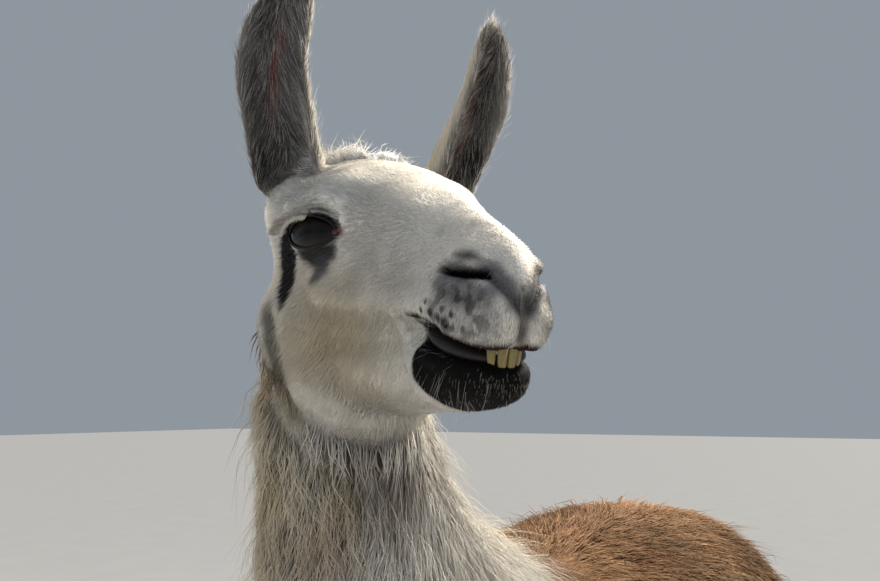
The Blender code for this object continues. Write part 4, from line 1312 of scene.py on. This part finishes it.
def makeTearCorner(side, material):
    corner = bmesh.new()
    bmesh.ops.create_icosphere(corner, subdivisions=3, radius=1)
    bmesh.ops.scale(corner, verts=corner.verts, vec=tearCorner["size"])
    place = eyeMatrix[side].copy()
    place.translation = Vector(lidLine(side, np.array([0.0]), tearCorner["place"], -tearCorner["sink"])[0])
    bmesh.ops.transform(corner, matrix=place, verts=corner.verts)
    bmesh.ops.recalc_face_normals(corner, faces=corner.faces)
    name = f"tear_corner_{side}"
    dressed(newPiece(name, meshFrom(name, corner)), material)


lashes = {"count": 560, "paleCount": 900, "dark": "#2c2523", "pale": "#e2dcd2", "palest": "#f1ece2"}


def makeLidHair(side, material):
    long, crown, out = eyeAxes[side][:, None]
    # lashes: long and pale over the outer half, short and dark towards the nose
    count = lashes["count"]
    turn = np.radians(18 + 166 * dice.random(count) ** 0.7)
    roots = lidLine(side, turn, 1.03, 0.0016) + out * (0.0034 * ease(85, 125, np.degrees(turn)))[:, None]
    outer = ease(60, 115, np.degrees(turn))[:, None]
    fan = np.cos(turn)[:, None]
    starts = (out * (1.0 - 0.55 * outer) + crown * 0.12 + long * (fan * 0.8 - 0.5 * outer)
              + dice.normal(0, 0.10, (count, 3)))
    ends = (out * (0.85 - 0.65 * outer) - crown * 0.50 + long * (fan * 0.9 - 0.25 - 0.5 * outer)
            + dice.normal(0, 0.12, (count, 3)))
    outer = outer[:, 0]
    dark = np.tile(linear(lashes["dark"]), (count, 1))
    tones = paint(dark, linear(lashes["pale"]), outer * dice.uniform(0.6, 1.0, count))
    lengths = (0.0070 + 0.0105 * outer) * dice.uniform(0.7, 1.15, count)
    makeLashes(f"lashes_{side}", roots, starts, ends, lengths, 0.00045 + 0.00035 * outer, tones, material)
    # pale lashes of the outer upper lid, hanging over its edge
    count = lashes["paleCount"]
    turn = np.radians(dice.uniform(80, 172, count))
    roots = lidLine(side, turn, 1.05, 0.0032) + crown * dice.uniform(-0.0004, 0.0024, (count, 1))
    starts = out * 0.75 - long * 0.10 - crown * 0.22 + dice.normal(0, 0.09, (count, 3))
    ends = out * 0.22 - long * 0.20 - crown * 0.92 + dice.normal(0, 0.09, (count, 3))
    tones = np.tile(linear(lashes["palest"]), (count, 1)) * dice.uniform(0.8, 1.0, (count, 1))
    lengths = dice.uniform(0.0065, 0.0115, count)
    makeLashes(f"lid_fringe_{side}", roots, starts, ends, lengths, np.full(count, 0.00075), tones, material)


def makeEyes():
    ballMaterial = eyeMaterial()
    rimMaterial = wetSkin("lid_margin_skin", "#0d0a0a", 0.5)
    cornerMaterial = wetSkin("moist_pink_tissue", "#4d2926", 0.4)
    lashMaterial = hairMaterial("lash_hair", 0.3)
    turns = np.linspace(0, 2 * math.pi, lidRim["points"] + 1)[:-1]
    radii = lidRim["thin"] + lidRim["swell"] * np.abs(np.sin(turns))
    for side in signs:
        makeEyeball(side, ballMaterial)
        makeRim(f"lid_margin_{side}", lidLine(side, turns, 1.0, lidRim["rise"]), radii, rimMaterial)
        makeTearCorner(side, cornerMaterial)
        makeLidHair(side, lashMaterial)
    print("eyes done")


teeth = {"count": 4, "arc": 0.0140, "step": 26.0, "size": (0.0034, 0.0068, 0.0130), "outer": 0.88,
         "top": (0.1695, 0.0, -0.0825), "lean": 12.0, "round": 0.0011, "cutFrom": 0.140, "cutOver": 0.0005}


def makeTeeth():
    # lower incisors: worn yellow enamel with brown stains 6 mm wide, both tones darkened as painted shade
    # between the lips
    tones = (linear("#5b4c22"), linear("#9c8a4e"))
    material = grained("shaded_worn_enamel", "Noise", {"Scale": 160.0, "Detail": 4.0}, tones, Roughness=0.40,
                       IOR=1.62, Subsurface_Weight=0.15, Subsurface_Radius=(0.002, 0.0015, 0.001))
    row = bmesh.new()
    for i in range(teeth["count"]):
        angle = teeth["step"] * (i - (teeth["count"] - 1) / 2)
        turn = math.radians(angle)
        root = Vector(teeth["top"]) + Vector((math.cos(turn) - 1, math.sin(turn), 0)) * teeth["arc"]
        root.z -= teeth["size"][2] / 2
        made = bmesh.ops.create_cube(row, size=1)["verts"]
        smaller = 1.0 if abs(angle) < teeth["step"] else teeth["outer"]
        bmesh.ops.scale(row, verts=made, vec=Vector(teeth["size"]) * smaller)
        for vert in made:                           # narrower at the root, thinner at the edge
            vert.co.y *= 0.97 if vert.co.z > 0 else 0.72
            vert.co.x *= 0.60 if vert.co.z > 0 else 1.15
        edges = list({edge for vert in made for edge in vert.link_edges})
        made = bmesh.ops.bevel(row, geom=edges, offset=teeth["round"], segments=3, profile=0.5,
                               affect="EDGES", material=-1)
        whole = list({vert for face in made["faces"] for vert in face.verts})
        lean = Matrix.Rotation(turn, 4, "Z") @ Matrix.Rotation(math.radians(teeth["lean"]), 4, "Y")
        bmesh.ops.transform(row, matrix=headMatrix @ Matrix.Translation(root) @ lean, verts=whole)
    dressed(newPiece("incisors", meshFrom("incisors", row)), material)
    print("teeth done")


tongue = {"middle": (0.131, 0.0, -0.0825), "size": (0.038, 0.028, 0.0090), "dip": 14.4, "groove": 0.22}


def makeTongue():
    # the tongue lies between the jaws behind the teeth, dark and wet
    shape = bmesh.new()
    bmesh.ops.create_uvsphere(shape, u_segments=40, v_segments=24, radius=1)
    for vert in shape.verts:                        # a shallow groove down its middle
        if vert.co.z > 0:
            vert.co.z -= tongue["groove"] * math.exp(-(vert.co.y / 0.16) ** 2) * vert.co.z
    bmesh.ops.scale(shape, verts=shape.verts, vec=tongue["size"])
    place = Matrix.Translation(tongue["middle"]) @ Matrix.Rotation(math.radians(tongue["dip"]), 4, "Y")
    bmesh.ops.transform(shape, matrix=headMatrix @ place, verts=shape.verts)
    material = wetSkin("moist_tongue", "#150c0b", 0.65)
    dressed(newPiece("tongue", meshFrom("tongue", shape)), material)
    print("tongue done")


nails = {"levels": 2, "tones": ("#241e1a", "#4b4038"), "bump": 0.35,
         "rings": {"bands_direction": "Y", "Scale": 130.0, "Distortion": 2.0, "Detail": 3.0}}


def makeNails():
    # horn of the toenails: dark, satin, ringed across by its growth every 2.4 mm
    tones = [linear(code) for code in nails["tones"]]
    material = grained("toenail_horn", "Wave", nails["rings"], tones, nails["bump"], Roughness=0.42)
    for node in [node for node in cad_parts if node.startswith("toenail")]:
        name = node.replace("toenail", "nail")
        piece = newPiece(name, meshFrom(name, mergedCopy(node)))
        shaped(piece, "SUBSURF", levels=nails["levels"], render_levels=nails["levels"])
        dressed(piece, material, [node])
    print("nails done")


addLight()
makeFloor()
skin, flesh, faceLabels = startSkin()
shrinkSkin(skin)
thinSkin(skin)
restoreHead(skin)
refineSkin(skin)
smoothSeams(skin)
print("skin shaped", sum(len(face.vertices) - 2 for face in skin.data.polygons), "triangles")
slit = sculptFace(skin)
hollows = np.stack([earCups(skin), slit, mouthInside(skin)], axis=1)
colourSkin(skin, hollows)
dressed(skin, skinMaterial(), fleshNodes)
print("skin coloured")
makeEyes()
makeTeeth()
makeTongue()
makeNails()
growCoat(skin, hollows)
